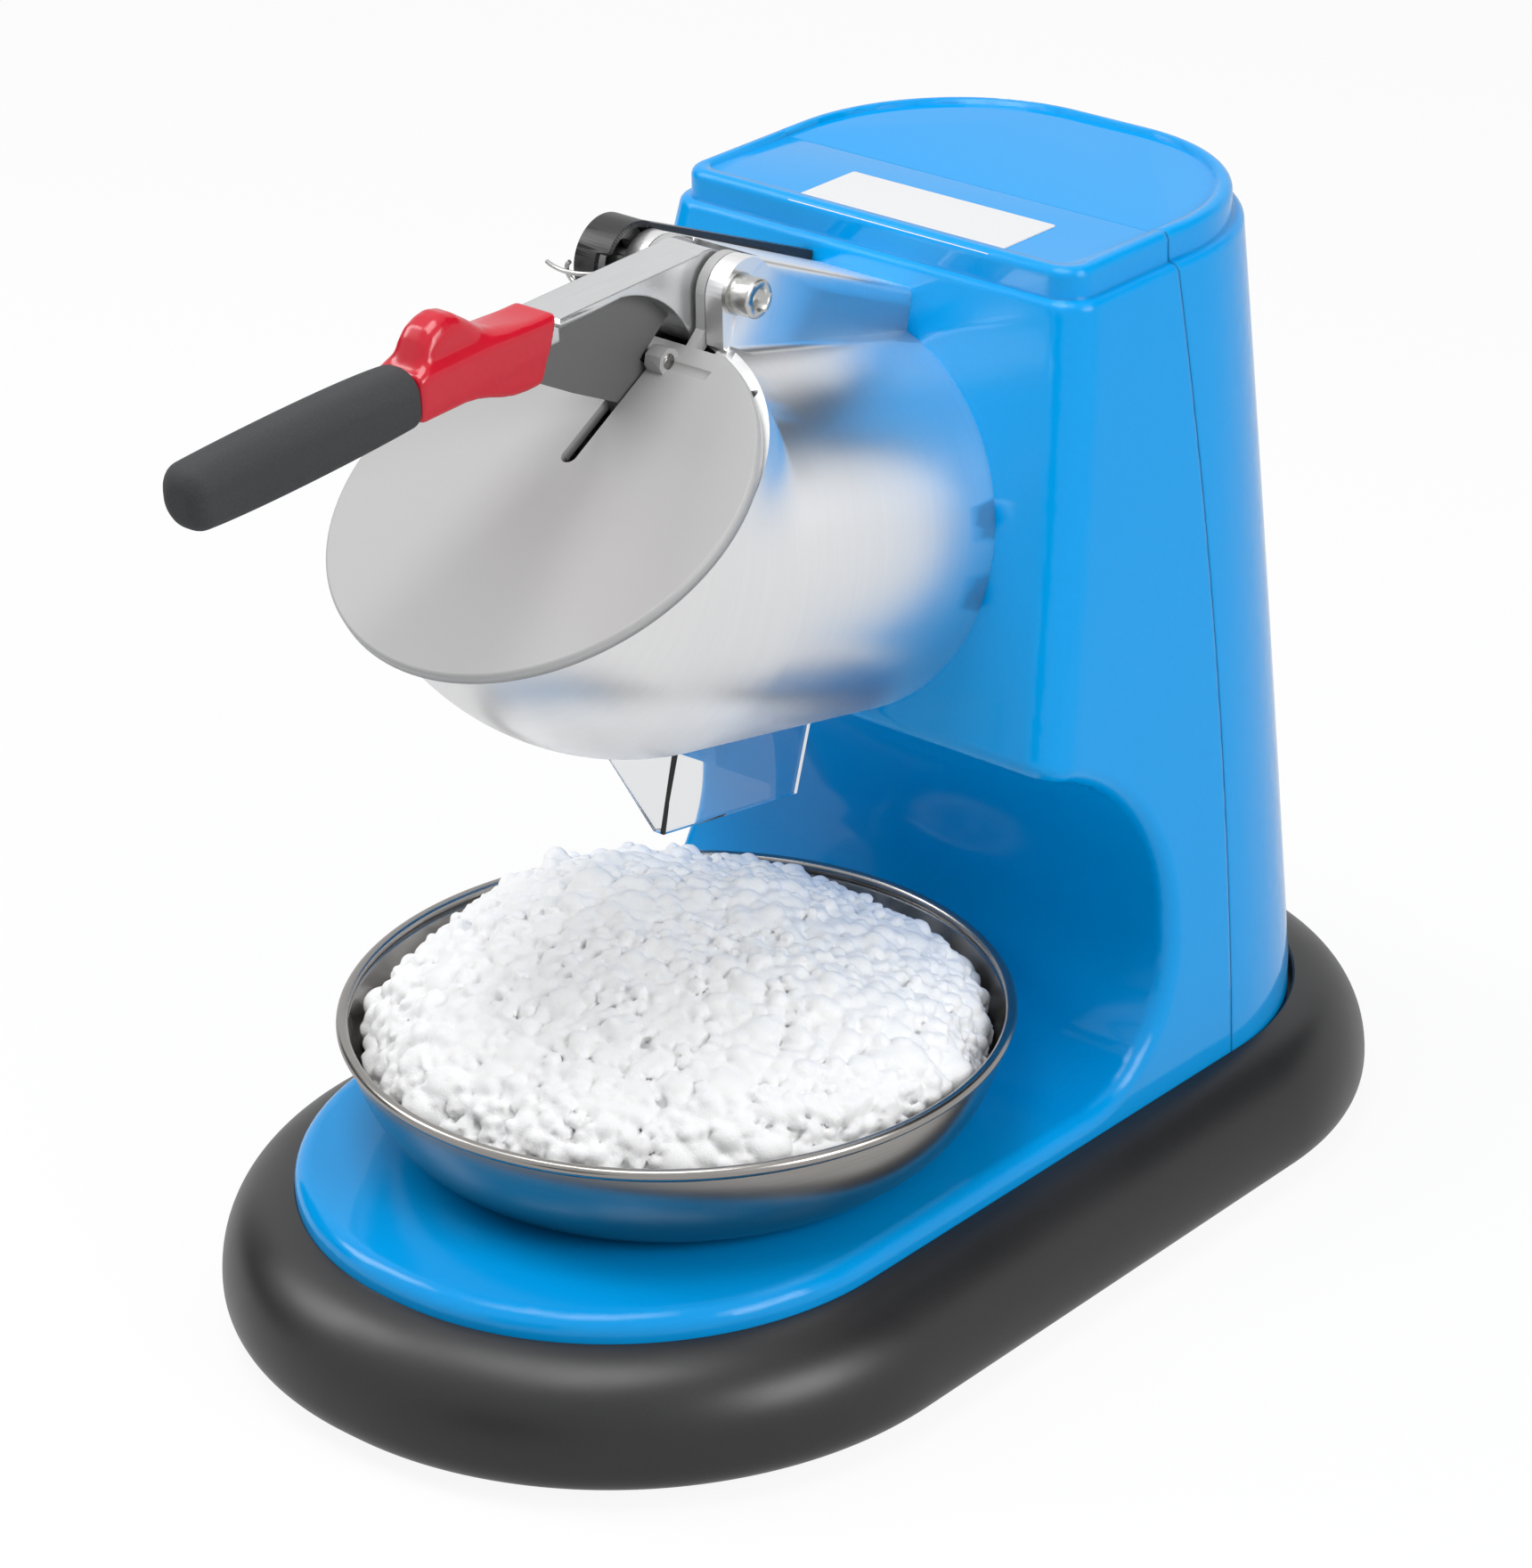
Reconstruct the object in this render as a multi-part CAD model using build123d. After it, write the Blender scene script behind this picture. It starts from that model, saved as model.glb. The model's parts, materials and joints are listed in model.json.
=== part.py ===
"""Countertop shaved ice machine with a lever lid, a bowl of ice and a motor-driven blade disc.

Frame: +Z up, +Y towards the back, +X to the right as seen from the front. The origin lies on
the table, under the middle of the overall length (grip tip to the back of the base).
All sizes are millimetres and degrees.
"""
from build123d import *
import os
from math import asin, atan2, cos, degrees, hypot, radians, sin, sqrt, tan

os.makedirs("parts", exist_ok=True)

# ------------------------------------------------------------------ driving dimensions
fit_gap = 0.2               # between pieces of the shell that drop into each other
run_gap = 0.3               # between pieces that move past each other
bore_gap = 0.05             # radial clearance of a shaft in its bore

# base
base_width = 210.0
base_front = -160.0
base_rear = 193.0
base_rear_corner = 93.0
front_flat = 2.0            # straight bit at the middle of the round front
skirt_inset = 20.0          # from the outermost line of the skirt to its inner top edge
rear_gap = 3.2              # between the skirt and the foot of the rear cover
skirt_wall = 2.6
skirt_top_z = 36.0
skirt_wide_z = 12.0         # height at which the skirt is widest
skirt_low_z = 3.0
ledge_z = 29.0              # the shells stand on this ledge inside the skirt
ledge_width = 6.0
flange_width = 7.0          # inward flange under the base plate
plate_t = 2.0
foot_r = 9.0
foot_height = 5.6

# shells
shell_t = 2.5
tray_z = 43.0               # top of the bowl tray
shoulder_z = 259.5
top_z = 267.5
mid_z = 143.0
mid_draw = 4.0              # the column's sides are drawn in by this at mid_z
top_draw = 16.5             # and by this at the shoulder
mid_rear_draw = 9.8         # the column's back is drawn in by this at mid_z
top_rear_draw = 17.4        # and by this at the shoulder
front_lean = 12.35          # the column's face leans back by this angle
corner_r = 10.0
lip_step = 3.0
lip_width = 4.0
panel_drop = 1.2
soft_r = 2.4
scoop_edge_r = 5.0
seam_y = 94.5               # parting plane between the shells, at tray height
seam_lean = 2.1
seam_gap = 0.3

# scoop behind the bowl
scoop_y = 67.5              # deepest line of the scoop
scoop_upper_r = 57.0
scoop_lower_r = 37.0
scoop_mid_z = 85.0
scoop_roof_slope = 18.5

# hopper drum
drum_y = 31.2               # where the drum axis meets the column's face
drum_z = 193.7
drum_rear_r = 53.0
drum_r = 54.5
drum_straight = 75.0
elbow_r = 40.0
drum_wall = 3.0
drum_floor = 3.5

# lid, ears and pivot
lid_y = -76.8
lid_z = 233.1
lid_tilt = 30.0
lid_r = 56.3
lid_t = 3.0
pivot_y = -22.7
pivot_z = 272.2
pivot_r = 3.0
ear_y = -18.6               # middle of the ears' round top
ear_z = 270.6
ear_r = 9.2
ear_low_z = 259.0           # foot of the ears' upright front edge
ear_inner = 11.0
ear_outer = 16.5
lug_t = 2.9
ridge_rear_v = 61.4
clevis_r = 15.6
lid_rear_s = 52.1           # straight rear edge of the lid between the ears
slot_front_s = 10.3
slot_rear_s = 48.5
lift_travel = 34.0          # lever travel before the lift pin picks up the lid
lift_pin_s = 45.5
lift_pin_n = 1.2
lift_pin_r = 2.0

# lever
barrel_r = 8.6
arm_half = 6.9              # half width of the cast arm and its barrel
arm_top_z = 280.4           # top of the arm over the pivot
arm_low_z = 258.8           # lowest point of the arm's gusset
flange_t = 2.4              # depth of the arm's flange beside the handle
web_t = 3.0
grip_tip_y = -193.0
grip_start_y = -122.0
sleeve_end_y = -75.0        # sleeve's end on top
sleeve_end_low_y = -82.0    # and at the bottom
handle_z = 272.2            # middle of the handle where the grip starts
handle_lean = 2.7           # the handle drops towards its tip
grip_w = 14.6
grip_h = 17.4
grip_neck_h = 15.4          # height of the grip beside the sleeve
sleeve_w = 14.6
sleeve_top = 6.1            # the sleeve's top and bottom from the middle of the handle
sleeve_low = 5.7
sleeve_root = 10.2          # and its bottom where the web runs in
core_w = 8.0
core_h = 8.0
press_r = 38.0
press_v = 4.0
press_u = 24.5
press_t = 5.0
press_tooth = 2.5

# blades and drive
disc_u = 12.0
disc_t = 3.0
disc_r = 48.0
blade_count = 3
shaft_r = 5.0
bearing_r = 13.0
bearing_w = 8.0
housing_r = 20.0
motor_u = -27.0             # front of the motor
motor_r = 37.0
motor_len = 62.0
bracket_t = 3.0
bracket_half = 42.0
post_at = 33.0              # bracket posts stand at plus and minus this
fan_r = 31.0
fan_w = 9.0

# chute
chute_half = 14.0
chute_t = 2.0
chute_front_u = 68.6
chute_rear_u = 15.0
chute_low_v = -74.3
chute_rear_v = -71.0
chute_left_v = -55.5

# bowl and ice
bowl_y = -33.3
bowl_rim_r = 88.0
bowl_base_r = 61.0
bowl_height = 32.5
bowl_wall = 1.0
rim_bead = 1.6
ice_peak_z = 100.0

# power switch
switch_y = 62.0
switch_z = 205.0
switch_w = 15.0
switch_h = 21.0
rocker_throw = 16.0

# fasteners
screw_r = 2.0
screw_head_r = 3.6
screw_head_h = 2.4
cover_screw_inset = 15.3    # from the column's side at the shoulder
cover_screw_z = 241.0
cover_screw_low_inset = 20.8
cover_screw_low_z = 78.0

# ------------------------------------------------------------------ frames and shared forms
half_base = base_width / 2
shell_half = half_base - skirt_inset - fit_gap
shell_front = base_front + skirt_inset + fit_gap
shell_rear = base_rear - skirt_inset - rear_gap
shell_rear_corner = base_rear_corner - skirt_inset - fit_gap
rear_flat = shell_half - shell_rear_corner
mid_half = shell_half - mid_draw
top_half = shell_half - top_draw
mid_rear = shell_rear - mid_rear_draw
top_rear = shell_rear - top_rear_draw
cover_screw_x = top_half - cover_screw_inset
cover_screw_low_x = shell_half - cover_screw_low_inset

lean_c = cos(radians(front_lean))
lean_s = sin(radians(front_lean))
drum_plane = Plane(origin=(0, drum_y, drum_z), x_dir=(1, 0, 0), z_dir=(0, -lean_c, lean_s))
drum_side = Plane(origin=(0, drum_y, drum_z), x_dir=(0, -lean_c, lean_s), z_dir=(-1, 0, 0))

tilt_c = cos(radians(lid_tilt))
tilt_s = sin(radians(lid_tilt))
lid_plane = Plane(origin=(0, lid_y, lid_z), x_dir=(1, 0, 0), z_dir=(0, -tilt_s, tilt_c))
lid_side = Plane(origin=(0, lid_y, lid_z), x_dir=(0, tilt_c, tilt_s), z_dir=(1, 0, 0))


def to_drum(y, z):
    """Side-view point (y, z) as (u along the drum axis, v across it)."""
    dy, dz = y - drum_y, z - drum_z
    return -dy * lean_c + dz * lean_s, dy * lean_s + dz * lean_c


def to_lid(y, z):
    """Side-view point (y, z) as (s along the lid towards its hinge, n above it)."""
    dy, dz = y - lid_y, z - lid_z
    return dy * tilt_c + dz * tilt_s, -dy * tilt_s + dz * tilt_c


def drum_to_lid(u, v):
    """Side-view point of the drum frame in the lid frame."""
    y = drum_y - u * lean_c + v * lean_s
    z = drum_z + u * lean_s + v * lean_c
    return to_lid(y, z)


pivot_u, pivot_v = to_drum(pivot_y, pivot_z)
pivot_s, pivot_n = to_lid(pivot_y, pivot_z)
ear_u, ear_v = to_drum(ear_y, ear_z)
elbow_s, elbow_n = drum_to_lid(drum_straight, elbow_r)
mouth_s = elbow_s - elbow_r


def face_y(z):
    """Y of the column's leaning front face at height z."""
    return drum_y + (z - drum_z) * tan(radians(front_lean))


def seam_at(z):
    """Y of the parting plane at height z."""
    return seam_y - (z - tray_z) * tan(radians(seam_lean))


def plan(half, front, rear, front_r, rear_r, z=0.0):
    """Plan outline of the machine: a rectangle with round front and rear corners."""
    sheet = Rectangle(2 * half, rear - front)
    sheet = fillet(sheet.vertices().sort_by(Axis.Y)[:2], front_r)
    sheet = fillet(sheet.vertices().sort_by(Axis.Y)[-2:], rear_r)
    return Pos(0, (front + rear) / 2, z) * sheet


def base_plan(inset, z=0.0):
    """Plan of the base at a distance inside the skirt's outermost line."""
    half = half_base - inset
    return plan(half, base_front + inset, base_rear - inset,
                half - front_flat, base_rear_corner - inset, z)


def column_plan(z, half, rear, inset=0.0):
    """Plan of the column at height z, drawn in by inset."""
    front = face_y(z) + inset / lean_c
    return plan(half - inset, front, rear - inset, max(corner_r - inset, 1.0),
                half - inset - rear_flat, z)


def tube(r_out, r_in, height):
    """Upright tube standing on its plane."""
    ring = Circle(r_out) - Circle(r_in)
    return extrude(ring, height)


def side_slab(face, half, plane):
    """Side-view face extruded to both sides of the middle plane."""
    return extrude(plane * face, half, both=True)


def rounded_bar(width, height, radius, y0, y1, z):
    """Bar along Y with rounded corners, between y0 and y1."""
    section = Plane(origin=(0, y0, z), x_dir=(1, 0, 0), z_dir=(0, 1, 0)) * RectangleRounded(
        width, height, radius)
    return extrude(section, y1 - y0)


def pan_screw(length):
    """Screw with its head's seat on the plane and its shank pointing down."""
    head = Pos(0, 0, screw_head_h / 2) * Cylinder(screw_head_r, screw_head_h)
    head = fillet(head.edges().sort_by(Axis.Z)[-1:], screw_head_h * 0.45)
    head -= Pos(0, 0, screw_head_h) * (Box(0.9, 4, 2) + Box(4, 0.9, 2))
    return head + Pos(0, 0, -length / 2) * Cylinder(screw_r, length)


def on_drum(x, v, u):
    """Location in the drum frame."""
    return drum_plane.location * Pos(x, v, u)


def save(name, *solids):
    """Write one named node as a STEP file."""
    bodies = [body for item in solids for body in item.solids()]
    shape = bodies[0] if len(bodies) == 1 else Compound(children=bodies)
    shape.label = name
    export_step(shape, f"parts/{name}.step")


# ------------------------------------------------------------------ base
def base_skirt():
    """Hollow bulging ring swept round the base, with a shell ledge and a bottom flange."""
    w, top, wide, low = skirt_wall, skirt_top_z, skirt_wide_z, skirt_low_z
    rise = top - wide
    drop = wide - low
    inner_top = (-skirt_inset + 2.5, top - w - 0.8)
    under = (-9.0, low)
    with BuildLine() as line:
        crest = Bezier((-skirt_inset, top), (-skirt_inset * 0.4, top - 2.0), (0, wide + rise * 0.55),
                       (0, wide))
        belly = Bezier(crest @ 1, (0, wide - drop * 0.6), (-3.0, low), under)
        Polyline(belly @ 1, (-9.0 - flange_width, low), (-9.0 - flange_width, low + w), (-9.0, low + w))
        inside = Bezier((-9.0, low + w), (-4.5, low + w), (-w, wide - drop * 0.3), (-w, wide))
        back = Bezier(inside @ 1, (-w, wide + rise * 0.5), (-skirt_inset * 0.4, inner_top[1] - 1.0),
                      inner_top)
        Polyline(back @ 1, (inner_top[0], ledge_z - w),
                 (-skirt_inset - ledge_width, ledge_z - w), (-skirt_inset - ledge_width, ledge_z),
                 (-skirt_inset, ledge_z), (-skirt_inset, top))
    start = (half_base, (base_front + base_rear) / 2)
    profile = Plane(origin=(start[0], start[1], 0), x_dir=(1, 0, 0), z_dir=(0, -1, 0)) * make_face(line.line)
    path = base_plan(0.0).wire()
    return sweep(profile, path=path, transition=Transition.ROUND)


foot_spots = [(sx * (half_base - 38), y) for sx in (-1, 1)
              for y in (base_front + 62, base_rear - 55)]
plate_z = skirt_low_z + skirt_wall


def base_plate():
    """Flat cover under the base, resting on the skirt's flange."""
    plate = extrude(base_plan(9.0 + fit_gap, plate_z), plate_t)
    for x, y in post_spots + rear_post_spots:
        plate -= Pos(x, y, plate_z) * Cylinder(screw_r + fit_gap, 4 * plate_t)
    return plate


def rubber_feet():
    """Four rubber feet under the base plate."""
    foot = Pos(0, 0, foot_height / 2) * Cylinder(foot_r, foot_height)
    foot = chamfer(foot.edges().sort_by(Axis.Z)[:1], 1.0)
    return [Pos(x, y, plate_z - foot_height) * foot for x, y in foot_spots]


post_spots = [(sx * 48, base_front + 66) for sx in (-1, 1)] + [(sx * 70, 14) for sx in (-1, 1)]
rear_post_spots = [(sx * 56, 130) for sx in (-1, 1)]


def base_screws():
    """Screws up through the base plate into the shell posts."""
    screw = Rot(180, 0, 0) * pan_screw(10)
    return [Pos(x, y, plate_z) * screw for x, y in post_spots + rear_post_spots]


# ------------------------------------------------------------------ shells
def scoop(offset=0.0):
    """The space that the scoop leaves open, drawn out by offset into the wall around it."""
    r1, r2 = scoop_upper_r + offset, scoop_lower_r + offset
    y, zm = scoop_y + offset, scoop_mid_z
    a = radians(scoop_roof_slope)
    c1 = (scoop_y - scoop_upper_r, zm)
    c2 = (scoop_y - scoop_lower_r, tray_z + scoop_lower_r)
    roof_end = (c1[0] + r1 * sin(a), c1[1] + r1 * cos(a))
    front = shell_front - 40
    roof_front = (front, roof_end[1] + (roof_end[0] - front) * tan(a))
    mid1 = (c1[0] + r1 * cos(radians(35)), c1[1] + r1 * sin(radians(35)))
    mid2 = (c2[0] + r2 * cos(radians(45)), c2[1] - r2 * sin(radians(45)))
    floor_z = tray_z - offset
    with BuildLine() as line:
        Line(roof_front, roof_end)
        ThreePointArc(roof_end, mid1, (y, zm))
        Line((y, zm), (y, c2[1]))
        ThreePointArc((y, c2[1]), mid2, (c2[0], floor_z))
        Polyline((c2[0], floor_z), (front, floor_z), roof_front)
    return side_slab(make_face(line.line), half_base + 10, Plane.YZ)


def hull_form(inset):
    """Outer form of both shells together, drawn in by inset: tray, column and lip."""
    half, front, rear = shell_half - inset, shell_front + inset, shell_rear - inset
    foot = plan(half, front, rear, half - front_flat, shell_rear_corner - inset, ledge_z)
    slab = extrude(foot, tray_z - inset - ledge_z)
    levels = [(tray_z - inset, shell_half, shell_rear), (mid_z, mid_half, mid_rear),
              (shoulder_z - inset, top_half, top_rear)]
    column = loft([column_plan(z, h, r, inset) for z, h, r in levels])
    form = slab + column - scoop(inset)
    step = lip_step + inset
    lip_plan = plan(top_half - step, face_y(shoulder_z) + 2.0 + inset, top_rear - step,
                    corner_r - 2.0, top_half - step - rear_flat, shoulder_z - inset - 1)
    return form, lip_plan


def shells():
    """Both thin-walled shells, cut apart at the parting plane."""
    outer, lip = hull_form(0.0)
    outer = soften(outer)
    lip_solid = extrude(lip, top_z - shoulder_z + 1)
    lip_solid = fillet(lip_solid.faces().sort_by(Axis.Z)[-1].edges(), soft_r)
    outer += lip_solid
    edge = lip_step + lip_width
    panel = plan(top_half - edge, face_y(shoulder_z) + 2.0 + lip_width, top_rear - edge,
                 corner_r - 4.0, top_half - edge - rear_flat, top_z - panel_drop)
    outer -= extrude(panel, 5)
    inner, inner_lip = hull_form(shell_t)
    inner += extrude(inner_lip, top_z - panel_drop - shell_t - shoulder_z + shell_t + 1)
    hollow = outer - inner
    front_cut = seam_block(-1)
    rear_cut = seam_block(1)
    front, rear = hollow & front_cut, hollow & rear_cut
    return front.solids().sort_by(SortBy.VOLUME)[-1], rear.solids().sort_by(SortBy.VOLUME)[-1]


def soften(body):
    """Round the shoulder and the long edge that runs round the scoop and the tray."""
    shoulder = body.faces().sort_by(Axis.Z)[-1].edges()
    body = fillet(shoulder, soft_r)
    rim = [e for e in body.edges() if on_scoop_rim(e)]
    return fillet(rim, scoop_edge_r)


def on_scoop_rim(edge):
    """True for the edges where the scoop or the tray meets the outer side of the form."""
    p = edge @ 0.5
    if p.Z < tray_z - 0.1 or p.Z > scoop_mid_z + scoop_upper_r + 2:
        return False
    if abs(p.Z - tray_z) < 0.1:
        return p.Y < scoop_y - scoop_lower_r + 0.5 and edge.length > 3
    return abs(p.X) > mid_half - 8 and p.Y < scoop_y + 0.5 and p.Y > face_y(p.Z) + 4


def seam_block(side):
    """Half space in front of (-1) or behind (+1) the parting plane."""
    low, high = 0.0, top_z + 20
    gap = side * seam_gap / 2
    far = side * 400
    pts = [(seam_at(low) + gap, low), (seam_at(high) + gap, high), (far, high), (far, low)]
    return side_slab(make_face(Polyline(*pts, close=True)), half_base + 10, Plane.YZ)


def front_shell(blank):
    """Front shell: openings for the shaft, the switch and the drum screws, posts and bosses."""
    posts = [Pos(x, y, plate_z + plate_t) * extrude(Circle(5.0), tray_z - plate_z - plate_t - 1)
             for x, y in post_spots]
    for post in posts:
        blank += post - scoop(0.5)
    for x, v in drive_posts():
        blank += on_drum(x, v, motor_u + bracket_t) * extrude(Circle(5.0), -motor_u - bracket_t - 1)
    bosses = [cover_boss(x, z) & seam_block(-1) for x, z in cover_spots()]
    for boss in bosses:
        blank += boss & hull_form(0.5)[0]
    blank -= on_drum(0, 0, -30) * extrude(Circle(bearing_r + fit_gap), 40)
    for x, v in drum_screw_spots():
        blank -= on_drum(x, v, -10) * extrude(Circle(screw_r + fit_gap), 20)
    for x, v in drive_posts():
        blank -= on_drum(x, v, motor_u) * extrude(Circle(screw_r), 14)
    for x, y in post_spots:
        blank -= Pos(x, y, plate_z) * extrude(Circle(screw_r), 14)
    for x, z in cover_spots():
        blank -= Pos(x, seam_at(z), z) * Rot(90, 0, 0) * Cylinder(screw_r, 24)
    blank -= switch_plane() * Box(switch_w, switch_h, 20)
    return blank.solids().sort_by(SortBy.VOLUME)[-1]


def cover_spots():
    """Places of the screws that pull the rear cover on."""
    return [(sx * x, z) for sx in (-1, 1)
            for x, z in ((cover_screw_x, cover_screw_z), (cover_screw_low_x, cover_screw_low_z))]


def cover_boss(x, z):
    """Solid boss along Y through the whole column at one cover screw."""
    return Pos(x, 80, z) * Rot(90, 0, 0) * Cylinder(6.4, 240)


def through_levels(z, low, middle, high):
    """Value at height z of the smooth curve through the three levels of the column's loft."""
    z0, z1, z2 = tray_z, mid_z, shoulder_z
    return (low * (z - z1) * (z - z2) / ((z0 - z1) * (z0 - z2))
            + middle * (z - z0) * (z - z2) / ((z1 - z0) * (z1 - z2))
            + high * (z - z0) * (z - z1) / ((z2 - z0) * (z2 - z1)))


def side_half(z):
    """Half width of the column at height z."""
    return through_levels(z, shell_half, mid_half, top_half)


def rear_at(z):
    """Y of the column's back at height z."""
    return through_levels(z, shell_rear, mid_rear, top_rear)


def switch_plane():
    """Plane on the column's left side, normal outwards, for the power switch."""
    slope = (side_half(switch_z + 5) - side_half(switch_z - 5)) / 10
    return Plane(origin=(-side_half(switch_z), switch_y, switch_z), x_dir=(0, -1, 0),
                 z_dir=(-1, 0, -slope))


def rear_cover(blank):
    """Rear cover: screw wells, cooling slots, cord bush hole and base posts."""
    for x, z in cover_spots():
        blank += cover_boss(x, z) & seam_block(1) & hull_form(0.5)[0]
    for x, y in rear_post_spots:
        post = Pos(x, y, plate_z + plate_t) * extrude(Circle(6.0), 34)
        blank += post & (Pos(0, 0, -40) * hull_form(0.5)[0] + hull_form(0.5)[0])
        blank -= Pos(x, y, plate_z) * extrude(Circle(screw_r), 14)
    for x, z in cover_spots():
        y = seam_at(z)
        blank -= Pos(x, y + 60 + 8, z) * Rot(90, 0, 0) * Cylinder(screw_head_r + 0.6, 120)
        blank -= Pos(x, y, z) * Rot(90, 0, 0) * Cylinder(screw_r + fit_gap, 24)
    slot = Pos(0, mid_rear, 0) * Rot(90, 0, 0) * extrude(SlotOverall(34, 3.2), 30, both=True)
    for row in range(8):
        for sx in (-1, 1):
            blank -= Pos(sx * 20, 0, 120 + 9 * row) * slot
    blank -= Pos(0, rear_at(gland_z), gland_z) * Rot(90, 0, 0) * Cylinder(gland_r + fit_gap / 2, 30)
    return blank.solids().sort_by(SortBy.VOLUME)[-1]


gland_z = 56.0
gland_r = 6.0
collar_r = 8.4              # collar outside the cover, seated where the slope of the back is highest
collar_t = 2.0


def cover_screws():
    """Long screws in the rear cover's wells."""
    return [Pos(x, seam_at(z) + 8, z) * Rot(-90, 0, 0) * pan_screw(18) for x, z in cover_spots()]


def cord_gland():
    """Grommet in the rear cover, with an open bore for the mains lead."""
    body = tube(gland_r, 3.4, 6.4) + tube(collar_r, 3.4, collar_t)
    collar_y = rear_at(gland_z - collar_r) + bore_gap + collar_t
    return Pos(0, collar_y, gland_z) * Rot(90, 0, 0) * body


# ------------------------------------------------------------------ hopper drum
def drum_form(r_rear, r, roof=0.0):
    """Solid form of the drum: a straight barrel, an elbow and a short mouth under the lid."""
    barrel = Pos(0, 0, drum_straight / 2) * Cone(r_rear, r, drum_straight)
    disc = Circle(r)
    low = disc & Pos(0, elbow_r - 100) * Rectangle(300, 200)
    crown = disc & Pos(0, elbow_r + 100) * Rectangle(300, 200)
    turn = revolve(Pos(0, 0, drum_straight) * low, Axis((0, elbow_r, drum_straight), (-1, 0, 0)),
                   90 - front_lean - lid_tilt)
    crown = extrude(Pos(0, 0, drum_straight) * crown, 30)
    form = drum_plane.location * (barrel + turn + crown)
    form += lid_plane.location * Pos(0, mouth_s, elbow_n) * extrude(Circle(r), 30)
    lid_side_cut = lid_plane.location * Pos(0, 0, 100 - lid_t - run_gap + roof) * Box(300, 300, 200)
    return form - lid_side_cut


def drum_screw_spots():
    """Screws that hold the drum's floor to the front shell, in the drum frame."""
    return [(sx * 30, sv * 24) for sx in (-1, 1) for sv in (-1, 1)]


def hopper_drum():
    """Brushed drum with a floor, a snow slot, the top ridge and two pivot ears."""
    body = drum_form(drum_rear_r, drum_r)
    ridge = ridge_form()
    body += ridge
    inside = drum_form(drum_rear_r - drum_wall, drum_r - drum_wall, roof=1)
    inside -= drum_plane.location * Pos(0, 0, drum_floor / 2 - 5) * Box(200, 200, drum_floor + 10)
    body -= inside
    body -= at_pivot(-ear_inner) * extrude(Circle(clevis_r), 2 * ear_inner)
    for x, v in drum_screw_spots():
        body += on_drum(x, v, drum_floor) * extrude(Circle(5.5), 5)
        body -= on_drum(x, v, -1) * extrude(Circle(screw_r), 9)
    body -= on_drum(0, 0, -1) * extrude(Circle(bearing_r + 2), 12)
    body -= on_drum(0, -drum_r, drum_floor + 6) * Box(2 * (chute_half - chute_t), 24, 12)
    return body.solids().sort_by(SortBy.VOLUME)[-1]


def ridge_form():
    """Ridge from the column to the ears, with the clevis gap for the lever and the lid lugs."""
    outline = Polyline((0, 30), (0, ridge_rear_v), (ear_u - 3, ear_v + ear_r - 0.4), (ear_u, ear_v),
                       (ear_u + 2, 45), (40, 30), close=True)
    block = side_slab(make_face(outline), ear_outer, drum_side)
    crest = [e for e in block.edges() if e.length > 60]
    block = fillet(crest, 2.0)
    block += Pos(0, ear_y, ear_z) * Rot(0, 90, 0) * Cylinder(ear_r, 2 * ear_outer)
    front_edge = Polyline((ear_y - ear_r, ear_z), (ear_y - ear_r, ear_low_z), (ear_y + 2, ear_low_z - 8),
                          (ear_y + 2, ear_z), close=True)
    block += side_slab(make_face(front_edge), ear_outer, Plane.YZ)
    keep = lid_plane.location * Pos(0, 0, 50 - lid_t - run_gap) * Box(300, 300, 100)
    front_part = side_slab(lid_front_face(), ear_outer + 1, lid_side)
    block -= front_part & keep
    gap = Pos(0, pivot_y, pivot_z) * Rot(0, 90, 0) * Cylinder(clevis_r, 2 * ear_inner)
    block -= gap
    block -= Pos(0, pivot_y, pivot_z) * Rot(0, 90, 0) * Cylinder(pivot_r + bore_gap, 60)
    return block.solids().sort_by(SortBy.VOLUME)[-1]


def lid_front_face():
    """Side-view area in front of the ears, where only the lid may be."""
    s1 = to_lid(ear_y - ear_r, ear_low_z)[0]
    return make_face(Polyline((-80, -40), (s1, -40), (s1, 40), (-80, 40), close=True))


def drum_screws():
    """Screws from inside the column into the drum floor's bosses."""
    screw = Rot(180, 0, 0) * pan_screw(9)
    return [on_drum(x, v, -shell_t) * screw for x, v in drum_screw_spots()]


def discharge_chute():
    """Clear guard under the drum: two side walls and a front wall with a slanted lower edge."""
    side = Polyline((chute_rear_u - 1, -40), (chute_rear_u + 2, chute_rear_v),
                    (chute_front_u, chute_low_v), (chute_front_u - 3, -40), close=True)
    box = side_slab(make_face(side), chute_half, drum_side)
    box -= on_drum(0, chute_low_v, chute_front_u - chute_t - 100) * Box(
        2 * (chute_half - chute_t), 100, 200)
    slant = Plane(origin=drum_plane.origin, x_dir=(1, 0, 0), z_dir=drum_plane.z_dir) * make_face(
        Polyline((chute_half - chute_t, chute_low_v - 1), (-chute_half - 1, chute_left_v),
                 (-chute_half - 1, chute_low_v - 9), (chute_half - chute_t, chute_low_v - 9), close=True))
    box -= extrude(slant, 120)
    box -= drum_plane.location * Pos(0, 0, drum_straight / 2) * Cone(
        drum_rear_r + fit_gap, drum_r + fit_gap, drum_straight)
    return box.solids().sort_by(SortBy.VOLUME)[-1]


# ------------------------------------------------------------------ pivot hardware
washer_t = 1.2
head_r = 5.0
head_h = 5.2
bolt_end_x = -23.6
cap_y = -22.5
cap_z = 271.6
cap_r = 11.2
cap_end_x = -27.0           # closed left end of the cap
cap_mouth_x = -20.4         # and its open mouth, away from its neck
cap_wall = 1.6
split_pin_x = -18.6
split_pin_r = 0.9
split_pin_reach = 13.6      # from the bolt's axis to where the legs part
leg_r = 0.6


def at_pivot(x):
    """Location on the pivot axis, with Z pointing to +X."""
    return Pos(x, pivot_y, pivot_z) * Rot(0, 90, 0)


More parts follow.
